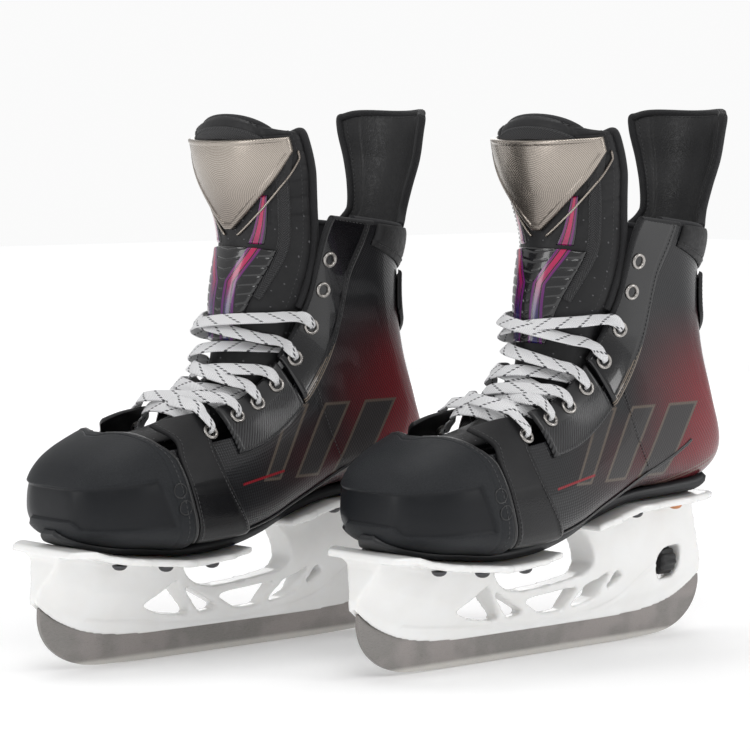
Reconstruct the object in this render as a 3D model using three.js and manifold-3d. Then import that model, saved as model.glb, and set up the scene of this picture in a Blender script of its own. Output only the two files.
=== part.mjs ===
// A pair of ice-hockey skates. Millimetres, +Z up, toes toward -X, the wearer's left skate on the -Y side.
import * as THREE from "three";
import { mergeVertices } from "three/addons/utils/BufferGeometryUtils.js";
import Module from "manifold-3d";

const wasm = await Module();
wasm.setup();

// ---- Driving dimensions, mm ----
const BOOT_SCALE = 1; // length and height of the boot upper about the ball of the foot, 1 = adult size 8
const BOOT_WIDTH = 1; // width of the boot upper, 1 = regular fitting
const GAP = 0.4; // clearance between neighbouring pieces
const SHELL_WALL = 2.2; // composite quarter shell
const LINER_WALL = 3.2; // foam and cloth lining
const CAP_WALL = 3; // moulded toe cap
const PANEL_WALL = 2.2; // facings, eyestays and saddle flaps
const SOLE_STACK = 7; // shell underside to outsole underside
const RUNNER_HALF = 142; // half length of the steel runner
const RUNNER_THICK = 3; // steel thickness
const RUNNER_FLAT = 45; // half length of the flat middle of the running edge
const STEEL_SHOWN = 16; // steel visible below the holder
const STEEL_HELD = 5; // steel hidden in the holder's slot
const SLOT_SIDE = 0.35; // clearance of the steel in its slot, each side
const FLANGE_THICK = 4; // mounting flange of each tower
const WHEEL_RADIUS = 8.6; // lock wheel
const WHEEL_WIDE = 13; // lock wheel along its bolt
const WHEEL_X = 109; // middle of the lock wheel
const LOCK_Z = 46; // height of the lock bolt
const BOLT_RADIUS = 2.4; // lock bolt
const BOLT_TRAVEL = 5; // draw of the lock bolt
const EYELET_RING = 4.9; // outer radius of an eyelet ring
const EYELET_BORE = 2.9; // hole of an eyelet
const EYELET_SET = 9.5; // eyelet centre to facing edge
const LACE_WIDE = 7.5; // lace width where it lies flat
const LACE_THICK = 1.5; // lace thickness
const GUARD_WALL = 4; // tendon guard
const PAIR_AHEAD = 119.5; // the right skate stands this far ahead of the left
const PAIR_APART = 139.8; // distance between the two running edges
const BALL_X = -40; // the upper grows about this point
const BALL_Z = 70;

// ---- Small solid helpers ----
function indexed(points, faces) {
  const g = new THREE.BufferGeometry();
  g.setAttribute("position", new THREE.BufferAttribute(new Float32Array(points.flat()), 3));
  g.setIndex(faces.flat());
  return g;
}
function clean(g) {
  const m = mergeVertices(new THREE.BufferGeometry().setAttribute("position", (g.index ? g.toNonIndexed() : g).getAttribute("position").clone()), 1e-4);
  const old = m.index.array, keep = [];
  for (let i = 0; i < old.length; i += 3)
    if (old[i] !== old[i + 1] && old[i + 1] !== old[i + 2] && old[i] !== old[i + 2]) keep.push(old[i], old[i + 1], old[i + 2]);
  m.setIndex(keep);
  return m;
}
function solid(g) {
  const m = clean(g);
  const made = new wasm.Manifold(new wasm.Mesh({ numProp: 3, vertProperties: new Float32Array(m.attributes.position.array), triVerts: new Uint32Array(m.index.array) }));
  if (made.volume() >= 0) return made;
  const t = new Uint32Array(m.index.array);
  for (let i = 0; i < t.length; i += 3) [t[i + 1], t[i + 2]] = [t[i + 2], t[i + 1]];
  return new wasm.Manifold(new wasm.Mesh({ numProp: 3, vertProperties: new Float32Array(m.attributes.position.array), triVerts: t }));
}
function geometry(made) {
  const m = made.getMesh(), n = m.numProp, v = new Float32Array(m.numVert * 3);
  for (let i = 0; i < m.numVert; i++) v.set(m.vertProperties.subarray(i * n, i * n + 3), i * 3);
  return new THREE.BufferGeometry().setAttribute("position", new THREE.BufferAttribute(v, 3)).setIndex(new THREE.BufferAttribute(new Uint32Array(m.triVerts), 1));
}
// A closed skin of constant topology: grid(i, j) outside, back(i, j) inside, walls round the free edges.
function skin(nu, nv, grid, back, { wrap = false, twin = false } = {}) {
  const pts = [], faces = [], cols = wrap ? nv : nv + 1;
  for (const f of [grid, back]) for (let i = 0; i <= nu; i++) for (let j = 0; j < cols; j++) pts.push(f(i / nu, j / nv));
  const at = (layer, i, j) => (layer * (nu + 1) + i) * cols + (wrap ? j % nv : j);
  const quad = (a, b, c, d) => faces.push([a, b, c], [a, c, d]);
  for (let i = 0; i < nu; i++)
    for (let j = 0; j < nv; j++) {
      // inside and outside share their diagonals, and a twin-sided layer mirrors them about its middle
      for (const [k, turn] of [[0, false], [1, true]]) {
        const a = at(k, i, j), b = at(k, i + 1, j), c = at(k, i + 1, j + 1), d = at(k, i, j + 1);
        const pair = twin && j >= nv / 2 ? [[a, b, d], [b, c, d]] : [[a, b, c], [a, c, d]];
        for (const [p, q, s] of pair) faces.push(turn ? [p, s, q] : [p, q, s]);
      }
    }
  for (let j = 0; j < nv; j++) {
    quad(at(0, 0, j), at(0, 0, j + 1), at(1, 0, j + 1), at(1, 0, j));
    quad(at(0, nu, j + 1), at(0, nu, j), at(1, nu, j), at(1, nu, j + 1));
  }
  if (!wrap)
    for (let i = 0; i < nu; i++) {
      quad(at(0, i + 1, 0), at(0, i, 0), at(1, i, 0), at(1, i + 1, 0));
      quad(at(0, i, nv), at(0, i + 1, nv), at(1, i + 1, nv), at(1, i, nv));
    }
  return indexed(pts, faces);
}
// A loft through rings of equal count, capped flat at both ends.
function loft(rings) {
  const n = rings[0].length, pts = rings.flat(), faces = [];
  for (let i = 0; i + 1 < rings.length; i++)
    for (let j = 0; j < n; j++) {
      const a = i * n + j, b = i * n + ((j + 1) % n);
      faces.push([a, b, b + n], [a, b + n, a + n]);
    }
  const last = (rings.length - 1) * n;
  for (let j = 1; j + 1 < n; j++) faces.push([0, j + 1, j], [last, last + j, last + j + 1]);
  return indexed(pts, faces);
}
// A side-view outline [x, z], extruded across the skate between y0 and y1.
function slab(outline, y0, y1) {
  const s = new THREE.Shape(outline.map(([x, z]) => new THREE.Vector2(x, z)));
  const g = new THREE.ExtrudeGeometry(s, { depth: y1 - y0, bevelEnabled: false, curveSegments: 1 });
  g.rotateX(Math.PI / 2);
  return g.translate(0, y1, 0);
}
function smooth(list, t) {
  const n = list.length - 1, k = Math.min(n - 1, Math.max(0, Math.floor(t))), f = t - k;
  const p = (i) => list[Math.min(n, Math.max(0, i))];
  const a = p(k - 1), b = p(k), c = p(k + 1), d = p(k + 2);
  return b.map((_, i) => {
    const m0 = (c[i] - a[i]) / 2, m1 = (d[i] - b[i]) / 2;
    return (2 * f ** 3 - 3 * f * f + 1) * b[i] + (f ** 3 - 2 * f * f + f) * m0 + (3 * f * f - 2 * f ** 3) * c[i] + (f ** 3 - f * f) * m1;
  });
}
function along(pairs, x) {
  let i = 0;
  while (i < pairs.length - 2 && x > pairs[i + 1][0]) i++;
  const [x0, y0] = pairs[i], [x1, y1] = pairs[i + 1], f = Math.min(1, Math.max(0, (x - x0) / (x1 - x0)));
  return y0 + (y1 - y0) * f;
}

// ---- The last: one surface that every piece of the upper follows ----
// Each station is a cross-section from the facing edge [ex, ez] at half opening ye, out to half width w,
// and in to the keel [kx, kz]: tm is how far down the widest point lies, c how flat the crown is, q how square the foot of it.
//            ex    ez    kx    kz   ye    w    tm    c    q
const LAST = [
  [-131.5, 98.5, -131.5, 96.5, 0, 0.6, 0.5, 1, 1],
  [-130.8, 108.5, -131, 87.5, 0, 16.5, 0.52, 1, 0.88],
  [-128, 114.8, -129, 82.8, 0, 25, 0.55, 1, 0.78],
  [-122.5, 120.8, -124.5, 79.8, 0, 32.5, 0.59, 1, 0.7],
  [-113, 127, -116, 77, 0, 39, 0.61, 1, 0.64],
  [-101, 132.5, -103, 74.4, 3, 43, 0.62, 0.95, 0.6],
  [-91, 136, -82, 72, 12, 45, 0.62, 0.8, 0.6],
  [-80, 139, -60, 69.6, 20, 46.5, 0.64, 0.6, 0.58],
  [-62, 143.5, -42, 69.4, 23, 46.5, 0.66, 0.45, 0.58],
  [-38, 146.5, -20, 71.2, 23.5, 45, 0.68, 0.4, 0.58],
  [-14, 152, 3, 76.5, 23.5, 42.5, 0.68, 0.4, 0.58],
  [3, 162.5, 28, 86, 24, 40.5, 0.68, 0.35, 0.58],
  [17, 178, 60, 94, 26, 38.5, 0.66, 0.35, 0.6],
  [27, 196, 96, 95.5, 30, 37.5, 0.62, 0.35, 0.62],
  [33, 213, 122, 97, 34, 37, 0.58, 0.35, 0.66],
  [35.5, 229, 141, 109, 37, 37, 0.54, 0.35, 0.74],
  [37, 240, 138, 130, 39, 37.5, 0.5, 0.35, 0.84],
  [38, 248, 128, 162, 41, 38.5, 0.48, 0.35, 0.92],
  [39, 253.5, 121.5, 196, 42.5, 40, 0.46, 0.35, 0.95],
  [40, 257, 120.5, 226, 43.5, 41.5, 0.45, 0.35, 0.95],
  [41, 259, 124, 250, 44, 43, 0.44, 0.35, 0.95],
];
const U_RIM = LAST.length - 1, SECTION = 28;
const sections = new Map();
function section(u) {
  const key = Math.round(u * 1e5);
  if (sections.has(key)) return sections.get(key);
  const [ex, ez, kx, kz, ye, w, tm, c, q] = smooth(LAST, u), pts = [];
  const put = (t, y) => pts.push([
    BALL_X + BOOT_SCALE * (ex + (kx - ex) * t - BALL_X), y * BOOT_WIDTH, BALL_Z + BOOT_SCALE * (ez + (kz - ez) * t - BALL_Z)]);
  for (let i = 0; i < SECTION; i++) {
    const s = i / SECTION, a = (s * Math.PI) / 2, p = 1 - 0.2 * c; // a flat crown also has a squarer shoulder
    put(tm * ((1 - c) * s + c * (1 - Math.cos(a) ** p)), Math.max(0, ye) + (w - Math.max(0, ye)) * Math.sin(a) ** p);
  }
  for (let i = 0; i <= SECTION; i++) {
    const a = (i / SECTION) * (Math.PI / 2);
    put(tm + (1 - tm) * Math.sin(a) ** q, i === SECTION ? 0 : w * Math.cos(a) ** q);
  }
  const run = [0];
  for (let i = 1; i < pts.length; i++) run.push(run[i - 1] + Math.hypot(...pts[i].map((p, k) => p - pts[i - 1][k])));
  const made = { pts, run, length: run[run.length - 1] };
  sections.set(key, made);
  return made;
}
function onSection(u, f) {
  const { pts, run, length } = section(u), s = Math.min(1, Math.max(0, f)) * length;
  let lo = 0, hi = run.length - 1;
  while (hi - lo > 1) { const mid = (lo + hi) >> 1; if (run[mid] > s) hi = mid; else lo = mid; }
  const k = (s - run[lo]) / (run[hi] - run[lo]);
  return pts[lo].map((p, i) => p + (pts[hi][i] - p) * k);
}
// A point off the last: u along the stations, f from facing edge 0 to keel 1, side -1 lateral or +1 medial, off outward.
function last(u, f, side, off) {
  const p = onSection(u, f), du = 0.06, df = 0.02;
  const u0 = Math.max(0, u - du), u1 = Math.min(U_RIM, u + du), f0 = Math.max(0, f - df), f1 = Math.min(1, f + df);
  const a = onSection(u0, f), b = onSection(u1, f), c = onSection(u, f0), d = onSection(u, f1);
  const U = b.map((x, i) => x - a[i]), F = d.map((x, i) => x - c[i]);
  let n = [U[1] * F[2] - U[2] * F[1], U[2] * F[0] - U[0] * F[2], U[0] * F[1] - U[1] * F[0]];
  if (p[1] < 0.02) n[1] = 0;
  let l = Math.hypot(...n);
  if (u < 0.02 || l < 1e-9) { n = [-1, 0, 0]; l = 1; }
  return [p[0] + (off * n[0]) / l, side * (p[1] + (off * n[1]) / l), p[2] + (off * n[2]) / l];
}
const reach = (u, mm) => mm / Math.max(100, section(u).length); // a distance down from the facing edge, as a share of the section
const mix = (a, b, t) => a + (b - a) * t;
// Lines that every layer shares, so that neighbouring layers stay parallel: line 0 runs along the facing edge, 1 through the
// eyelets, 2 along the shell's edge, 3 under the facings, and 8 along the keel. m counts from the keel: -8 lateral edge, +8 medial edge.
const LINES = 8, EDGE_MM = [0.6, EYELET_SET, 21, 33];
function share(u, k) {
  if (k <= 3) { const i = Math.min(2, Math.floor(k)); return reach(u, mix(EDGE_MM[i], EDGE_MM[i + 1], k - i)); }
  return mix(reach(u, EDGE_MM[3]), 1, (k - 3) / (LINES - 3));
}
function lat(u, m, off) { const k = LINES - Math.abs(m); return last(u, k <= 0.001 && u < 5.4 ? 0 : share(u, k), m < 0 ? -1 : 1, off); }
function steps(a, b, extra = []) { // a, every whole line between, and b
  const list = [a];
  for (let i = Math.ceil(a + 0.12); i < b - 0.11; i++) list.push(i);
  return [...list, b, ...extra].sort((p, q) => p - q);
}
// A layer between two offsets of the last; us may be functions of m, for a shaped edge.
function layer(us, ms, outer, inner, options = {}) {
  const U = (i, m) => (typeof us[i] === "function" ? us[i](m) : us[i]);
  const g = (off) => (a, b) => { const i = Math.round(a * (us.length - 1)), m = ms[Math.round(b * (ms.length - 1))], u = U(i, m); return lat(u, m, typeof off === "function" ? off(u, m) : off); };
  return skin(us.length - 1, ms.length - 1, g(outer), g(inner), { twin: ms[0] === -ms[ms.length - 1], ...options });
}

// ---- Pieces of one skate, built as the left and mirrored for the right ----
const LACE_U = [8.62, 9.62, 10.42, 11.3, 12.25, 13.3, 14.6, 16.1]; // station of each eyelet, toe to top
const EDGE_SET = [16, 10.5, EYELET_SET, EYELET_SET, EYELET_SET, EYELET_SET, EYELET_SET, EYELET_SET];
const CAP_U = 7, FLAP_U0 = 7.12, FLAP_U1 = 9.12, STAY_U1 = 11.75, FACE_TOP = U_RIM - 0.02;
const TOP = PANEL_WALL + GAP; // outer skin of the panels
const STRIP_WALL = 1.2;

function eyeletFrame(i, side) {
  const u = LACE_U[i], f = reach(u, EDGE_SET[i]);
  const p = new THREE.Vector3(...last(u, f, side, 0)), n = new THREE.Vector3(...last(u, f, side, 1)).sub(p).normalize();
  const t = new THREE.Vector3(...last(u, f + 0.02, side, 0)).sub(p).normalize();
  const b = new THREE.Vector3().crossVectors(n, t).normalize();
  return { p, n, t: new THREE.Vector3().crossVectors(b, n), b };
}
// A turned piece on the eyelet axis: profile [radius, height off the last].
function turned({ p, n, t, b }, profile, sides = 6, closed = true) {
  const rings = profile.map(([r, h]) => Array.from({ length: sides }, (_, k) => {
    const a = (k / sides) * 2 * Math.PI;
    return p.clone().addScaledVector(n, h).addScaledVector(t, r * Math.cos(a)).addScaledVector(b, r * Math.sin(a)).toArray();
  }));
  if (!closed) return loft(rings);
  const m = rings.length, faces = [];
  for (let i = 0; i < m; i++)
    for (let j = 0; j < sides; j++) {
      const a = i * sides + j, c = i * sides + ((j + 1) % sides), a2 = ((i + 1) % m) * sides + j, c2 = ((i + 1) % m) * sides + ((j + 1) % sides);
      faces.push([a, c, c2], [a, c2, a2]);
    }
  return indexed(rings.flat(), faces);
}

const UNDER = Array.from({ length: 15 }, (_, i) => lat(i + 1, 0, SOLE_STACK)).map(([x, , z]) => [x, z]); // underside of the outsole
const ft = (x) => along(UNDER, x) - GAP; // flange tops, fitted to it

function runner() {
  const H = RUNNER_HALF, lower = STEEL_SHOWN;
  const bottom = [[-RUNNER_FLAT, 0], [RUNNER_FLAT, 0], [H - 58, 0.35], [H - 34, 1.6], [H - 20, 5.4], [H - 9.5, 12], [H - 3, 20], [H, 28.5], [H, 34.5]];
  const top = [[H - 3, 35.2], [H - 13, 29.5 + STEEL_HELD - 2], [H - 22, lower + 9 + STEEL_HELD - 3], [H - 34, lower + 5 + STEEL_HELD - 2]];
  // rear post with the notch the lock bolt enters from behind
  const px = WHEEL_X - WHEEL_WIDE / 2 - 5.5, post = [
    [px, lower + 4 + STEEL_HELD - 1.5], [px, LOCK_Z - BOLT_RADIUS - 0.9], [px - 4, LOCK_Z - BOLT_RADIUS - 0.9], [px - 4, LOCK_Z + BOLT_RADIUS + 0.9],
    [px, LOCK_Z + BOLT_RADIUS + 0.9], [px, LOCK_Z + BOLT_RADIUS + 4], [px - 9, LOCK_Z + BOLT_RADIUS + 4], [px - 9, lower + STEEL_HELD + 1.2]];
  const middle = [[60, lower + STEEL_HELD], [-60, lower + STEEL_HELD], [-95, lower + STEEL_HELD + 1.5]];
  // front hook, turned over the holder's cross pin
  const hook = [[-101, lower + STEEL_HELD + 3], [-101, 37], [-108, 37], [-108, 33.4], [-116, 33.4], [-116, 31]];
  const front = [[-124, 30.5], [-134, 34.6], [-H + 3, 38.6], [-H, 37.6], [-H, 29], [-H + 3, 20], [-H + 9.5, 12], [-H + 20, 5.4], [-H + 34, 1.6], [-H + 58, 0.35]];
  return slab([...bottom, ...top, ...post, ...middle, ...hook, ...front], -RUNNER_THICK / 2, RUNNER_THICK / 2);
}

const HOLD_LOW = [[-145, 40], [-137, 33.5], [-127, 27.4], [-112, 21.6], [-95, 18.2], [-72, 16.3], [-40, 16], [45, 16], [75, 16.6], [92, 18], [108, 20.8], [120, 24.8], [131, 30.2], [140.5, 36.5]];
function holder() {
  const low = HOLD_LOW.map(([x, z]) => [x, z - 0.2]);
  const outline = [
    ...low, [142.5, 42], [139, 50], [132, 70], [125, ft(120) - FLANGE_THICK], [129, ft(122) - FLANGE_THICK], [129, ft(122)], ...UNDER.filter(([x]) => x > 26 && x < 121).reverse().map(([x, z]) => [x, z - GAP]),
    [25, ft(28) - 1.5], [25, ft(28) - FLANGE_THICK - 1], [33, 68], [39, 58], [40.5, 49.5], [33, 44.6], [10, 41.6], [-18, 39.6], [-32, 42], [-42, 48.6], [-46.5, 56],
    [-44, ft(-44) - FLANGE_THICK], [-12, ft(-12) - FLANGE_THICK], ...UNDER.filter(([x]) => x > -126 && x < -12).reverse().map(([x, z]) => [x, z - GAP]), [-131, ft(-127)],
    [-140, ft(-127) - 0.6], [-140.5, ft(-127) - FLANGE_THICK], [-137, ft(-127) - FLANGE_THICK - 1.5], [-141, 58], [-145.5, 46.5],
  ];
  // the envelope: a section across the skate at each x, thin at the slot, flaring into the flanges
  const rings = [];
  const widths = [[-146, 6, 20], [-138, 13, 31], [-125, 16, 37], [-100, 17, 40], [-70, 15, 41], [-50, 12, 40], [-30, 7.5, 39], [-10, 7, 36], [10, 7, 33], [28, 8, 31], [45, 12, 32], [70, 13, 32.5], [100, 11.5, 32], [120, 10, 31], [134, 7.5, 22], [144, 5, 14]];
  for (const [x, body, flange] of widths) {
    const top = ft(Math.max(-127, Math.min(122, x))), under = top - FLANGE_THICK - 0.4, lowZ = along(HOLD_LOW, x), half = [];
    half.push([4.3, lowZ - 4], [4.3, lowZ + 5], [mix(4.6, body, 0.3), lowZ + 12], [mix(5, body, 0.75), mix(lowZ + 12, under, 0.4)], [body, mix(lowZ + 12, under, 0.75)], [body + 1, under - 3], [body + 3.5, under], [flange, under], [flange, top + 3]);
    rings.push([...half.map(([y, z]) => [x, y, z]), ...half.slice().reverse().map(([y, z]) => [x, -y, z])]);
  }
  let made = solid(slab(outline, -48, 48)).intersect(solid(loft(rings)));
  const cut = (g) => { made = made.subtract(solid(g)); };
  for (const tri of [
    [[-75, 33.2], [-50, 46.6], [-47, 43.6], [-35, 25.2], [-40, 24.4], [-60, 27.4]], [[-44, 43], [-38, 40.6], [-24.5, 33], [-11.5, 25.8], [-28, 24.6]],
    [[-14.5, 32.8], [-8, 34.8], [12, 36.4], [31.5, 37.8], [17.5, 24.8], [5, 24.4], [-2, 25.4]], [[36.6, 38.6], [45.6, 41.2], [57, 47], [45.4, 30], [34, 26.6], [23.5, 25.6]],
    [[60.4, 46], [66.5, 41], [50.5, 31.8]],
  ]) cut(slab(tri, -30, 30));
  const wide = WHEEL_WIDE / 2 + 2.2; // thumb window for the lock wheel
  cut(slab([[WHEEL_X - wide - 3, LOCK_Z - WHEEL_RADIUS + 2.4], [WHEEL_X - wide + 0.4, LOCK_Z - WHEEL_RADIUS - 2.2], [WHEEL_X + 5, LOCK_Z - WHEEL_RADIUS - 1.4], [WHEEL_X + wide + 1, LOCK_Z - WHEEL_RADIUS + 5], [WHEEL_X + wide + 1, LOCK_Z + WHEEL_RADIUS - 2], [WHEEL_X + 6.7, LOCK_Z + WHEEL_RADIUS + 1.4], [WHEEL_X - 7.6, LOCK_Z + WHEEL_RADIUS], [WHEEL_X - wide - 4, LOCK_Z + WHEEL_RADIUS - 6]], -30, 30));
  const s = RUNNER_THICK / 2 + SLOT_SIDE; // slot for the steel, open below
  cut(slab([[-150, 4], [150, 4], [150, 40], [RUNNER_HALF + 0.5, 40], [RUNNER_HALF + 0.5, 37.4], [RUNNER_HALF - 3, 37.4], [RUNNER_HALF - 13, 34.2], [RUNNER_HALF - 23, 29.6], [108, 27.4], [107, 24.8], [WHEEL_X - WHEEL_WIDE / 2 - 3.2, 24.8], [WHEEL_X - WHEEL_WIDE / 2 - 3.2, LOCK_Z + BOLT_RADIUS + 5.6], [WHEEL_X - WHEEL_WIDE / 2 - 16.8, LOCK_Z + BOLT_RADIUS + 5.6], [WHEEL_X - WHEEL_WIDE / 2 - 16.8, 23.6], [60, 21.8], [-60, 21.8], [-94, 23.6], [-98, 24.6], [-98, 39.4], [-118.5, 39.4], [-118.5, 33], [-124, 32.6], [-134, 37], [-RUNNER_HALF + 3, 41], [-150, 41]], -s, s));
  const c = BOLT_RADIUS + 0.5; // bolt channel
  cut(slab([[WHEEL_X - WHEEL_WIDE / 2 - 14, LOCK_Z - c], [WHEEL_X + WHEEL_WIDE / 2 + 16, LOCK_Z - c], [WHEEL_X + WHEEL_WIDE / 2 + 16, LOCK_Z + c], [WHEEL_X - WHEEL_WIDE / 2 - 14, LOCK_Z + c]], -c, c));
  return geometry(made);
}
function lockWheel() {
  const n = 12, ring = (x, r, k) => Array.from({ length: n }, (_, i) => { const a = (i / n) * 2 * Math.PI, rr = r * (i % 2 ? 1 - k : 1); return [x, rr * Math.cos(a), LOCK_Z + rr * Math.sin(a)]; });
  const h = WHEEL_WIDE / 2, R = WHEEL_RADIUS;
  const body = solid(loft([ring(WHEEL_X - h, R - 1.6, 0), ring(WHEEL_X - h + 1.2, R, 0.09), ring(WHEEL_X + h - 1.2, R, 0.09), ring(WHEEL_X + h, R - 1.6, 0)]));
  return geometry(body.subtract(solid(loft([ring(WHEEL_X - h - 2, BOLT_RADIUS + GAP, 0), ring(WHEEL_X + h + 2, BOLT_RADIUS + GAP, 0)]))));
}
function lockBolt() {
  const ring = (x, r) => Array.from({ length: 8 }, (_, i) => { const a = ((i + 0.5) / 8) * 2 * Math.PI; return [x, r * Math.cos(a), LOCK_Z + r * Math.sin(a)]; });
  const tip = WHEEL_X - WHEEL_WIDE / 2 - 4.7, end = WHEEL_X + WHEEL_WIDE / 2 + 8;
  return loft([ring(tip, BOLT_RADIUS * 0.7), ring(tip + 1.5, BOLT_RADIUS), ring(end, BOLT_RADIUS)]);
}
function outsole() {
  // under the whole boot: thin below the toe cap, full thickness behind it
  const deep = (u) => mix(CAP_WALL + 2 * GAP, GAP, Math.min(1, Math.max(0, (u - CAP_U) / 1)));
  const us = [1.6, ...steps(2, 14)], spread = (u) => along([[1.6, 0.3], [2, 0.42], [3, 0.6], [4, 0.66], [5, 0.68], [8, 0.68], [11, 0.6], [14, 0.5]], u);
  const g = (off) => (a, b) => { const u = us[Math.round(a * (us.length - 1))]; return lat(u, mix(-2, 2, b) * spread(u), typeof off === "function" ? off(u) : off); };
  return skin(us.length - 1, 4, g(SOLE_STACK), g(deep), { twin: true });
}
function bootShell() {
  return layer(steps(5, U_RIM), steps(-6, 6), 0, -SHELL_WALL);
}
function liner() {
  const out = -SHELL_WALL - GAP;
  return layer(steps(5, U_RIM), steps(-6, 6).map((m) => m), out, out - LINER_WALL);
}
function footbed() {
  const d = -SHELL_WALL - LINER_WALL - 2.6 * GAP;
  return layer(steps(6, 13), [-1, 0, 1], d, d - 4);
}
function toeCap() {
  // a closed cup over the front of the last, its back edge sweeping from the crown down to the sides
  const edge = (m) => mix(5.2, CAP_U, Math.min(1, (LINES - Math.abs(m)) / 2.4));
  const us = [0.02, 1, 2, 3, 4, 5, (m) => Math.max(5.1, mix(5, edge(m), 0.5)), edge];
  return layer(us, steps(-LINES, LINES), CAP_WALL + 1.5 * GAP, 1.8 * GAP, { wrap: true });
}
function drilled(g, side, list) {
  let made = solid(g);
  for (const i of list) made = made.subtract(solid(turned(eyeletFrame(i, side), [[EYELET_BORE + 1 + GAP, -4], [EYELET_BORE + 1 + GAP, 6]], 6, false)));
  return geometry(made);
}
function saddle() {
  const back = (m) => mix(FLAP_U1, FLAP_U1 - 0.62, Math.sin(Math.PI * Math.min(1, (LINES + m) / 5.6)));
  return drilled(layer([(m) => FLAP_U0 + 0.0 * m, 7.6, 8, (m) => Math.max(8.1, mix(8, back(m), 0.5)), back], [...steps(-LINES, -2.12)], TOP, GAP), -1, [0]);
}
function eyestay() {
  return drilled(layer(steps(FLAP_U1 + 0.12, STAY_U1), [-8, -7, -6, -5.1], TOP, GAP), -1, [1, 2, 3]);
}
function facing() {
  return drilled(layer(steps(STAY_U1 + 0.1, FACE_TOP), [-8, -7, -6, -5], TOP, GAP), -1, [4, 5, 6, 7]);
}
function eyelets() {
  // rings and barrels riveted through the facing to one thin strip behind it
  const us = [8.3, 8.9, ...steps(10, 17.2)];
  const lo = (u) => LINES - (u < 9.5 ? 1.1 : 0.35), hi = (u) => LINES - (u < 9.5 ? 1.95 : 1.55);
  const g = (off) => (a, b) => { const u = us[Math.round(a * (us.length - 1))]; return lat(u, -mix(lo(u), hi(u), b), off); };
  let made = solid(skin(us.length - 1, 1, g(-GAP), g(-GAP - STRIP_WALL)));
  for (let i = 0; i < 8; i++) {
    const f = eyeletFrame(i, -1);
    made = made.subtract(solid(turned(f, [[EYELET_BORE, -6], [EYELET_BORE, 8]], 6, false)));
    made = made.add(solid(turned(f, [[EYELET_BORE, -STRIP_WALL], [EYELET_BORE + 1, -STRIP_WALL], [EYELET_BORE + 1, TOP + 1.4 * GAP], [EYELET_RING, TOP + 1.4 * GAP], [EYELET_BORE, TOP + 1.9]], 6)));
  }
  return geometry(made);
}
function collarPad() {
  // a soft roll along the rear half of the rim
  const us = [18.9, 19, 19.5, U_RIM];
  return layer(us, [-4.6, ...steps(-4, 4), 4.6], (u, m) => GAP + 1 + 2.6 * Math.sin(Math.PI * Math.min(0.92, Math.max(0.1, (u - 18.9) / 1.15 + 0.1))) * (Math.abs(m) > 4.3 ? 0.3 : 1), GAP);
}
function tendonBase() {
  return layer([(m) => 17.5 + 0.12 * Math.abs(m), 18, 18.78], [-2.2, -2, -1, 0, 1, 2, 2.2], GAP + 3, GAP + 0.7);
}
// the tendon guard stands behind the rim: x and z up its middle, half width, and how far its edges come forward
const GUARD = [[124, 253, 27, 10], [127, 262, 24.5, 9], [130.5, 276, 27, 10], [135, 292, 32, 13], [137, 308, 36.5, 16], [139.5, 321, 39, 18]];
function tendonGuard() {
  const at = (a, b, off) => {
    const [x, z, w, d] = smooth(GUARD, a * (GUARD.length - 1)), s = mix(-1, 1, b);
    if (a === 0) { // the foot of it is sewn down along the rim
      const rim = lat(U_RIM, 2.3 * s, -SHELL_WALL / 2 + off * 0.5);
      return [rim[0], rim[1], rim[2] + 1];
    }
    return [x - d * s * s + off * (1 - 0.35 * s * s), s * w * BOOT_WIDTH, BALL_Z + BOOT_SCALE * (z - BALL_Z) + 2.5 * s * s * a];
  };
  return skin(5, 6, (a, b) => at(a, b, GUARD_WALL / 2), (a, b) => at(a, b, -GUARD_WALL / 2));
}
// ---- Tongue: up its middle x, z, then half width, wrap depth, and thickness ----
const TONGUE = [
  [-93, 127, 8, 2, 5], [-76, 133.5, 16, 6, 6], [-58, 137.5, 17, 8, 7], [-40, 143, 17, 11, 8], [-23, 152, 15.5, 17, 8.5], [-12.5, 168, 16.5, 25, 9], [-8.5, 187, 20.3, 31, 9.5], [-7, 208, 29.5, 33, 10],
  [-3, 226, 33, 34, 10.5], [1.5, 244, 35.5, 33, 11],
];
const TONGUE_TOP = [[1.6, 244.9, 35.4, 33, 11], [0.5, 262, 38, 30, 12], [-3, 280, 41.5, 27, 13], [-6.5, 297, 41.5, 24, 14], [-8, 309, 39.5, 22, 14.5], [-7, 316, 35, 19, 12.5], [-4, 319.5, 28, 15, 7]];
function tongueSheet(path) {
  return (a, b, out, thick = 1) => {
    const t = a * (path.length - 1), p = smooth(path, t), q = smooth(path, Math.min(path.length - 1, t + 0.05)), r = smooth(path, Math.max(0, t - 0.05));
    const tx = q[0] - r[0], tz = q[1] - r[1], l = Math.hypot(tx, tz), nx = -tz / l, nz = tx / l; // forward and up
    const ang = mix(-1, 1, b) * 1.45, s = Math.sin(ang) / Math.sin(1.45), d = p[3] * (1 - Math.cos(ang)) / (1 - Math.cos(1.45));
    const off = out - (thick ? 0 : p[4] * (1 - 0.55 * s * s));
    const X = p[0] + nx * (off - d), Z = p[1] + nz * (off - d), inward = thick ? 0 : 0.06 * p[2];
    return [BALL_X + BOOT_SCALE * (X - BALL_X), s * (p[2] - inward + out) * BOOT_WIDTH, BALL_Z + BOOT_SCALE * (Z - BALL_Z)];
  };
}
function tongueLower() { const f = tongueSheet(TONGUE); return skin(9, 8, (a, b) => f(a, 1 - b, 0), (a, b) => f(a, 1 - b, 0, 0)); }
function tongueTop() { const f = tongueSheet(TONGUE_TOP); return skin(6, 8, (a, b) => f(a, 1 - b, 0), (a, b) => f(a, 1 - b, 0, 0)); }
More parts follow.
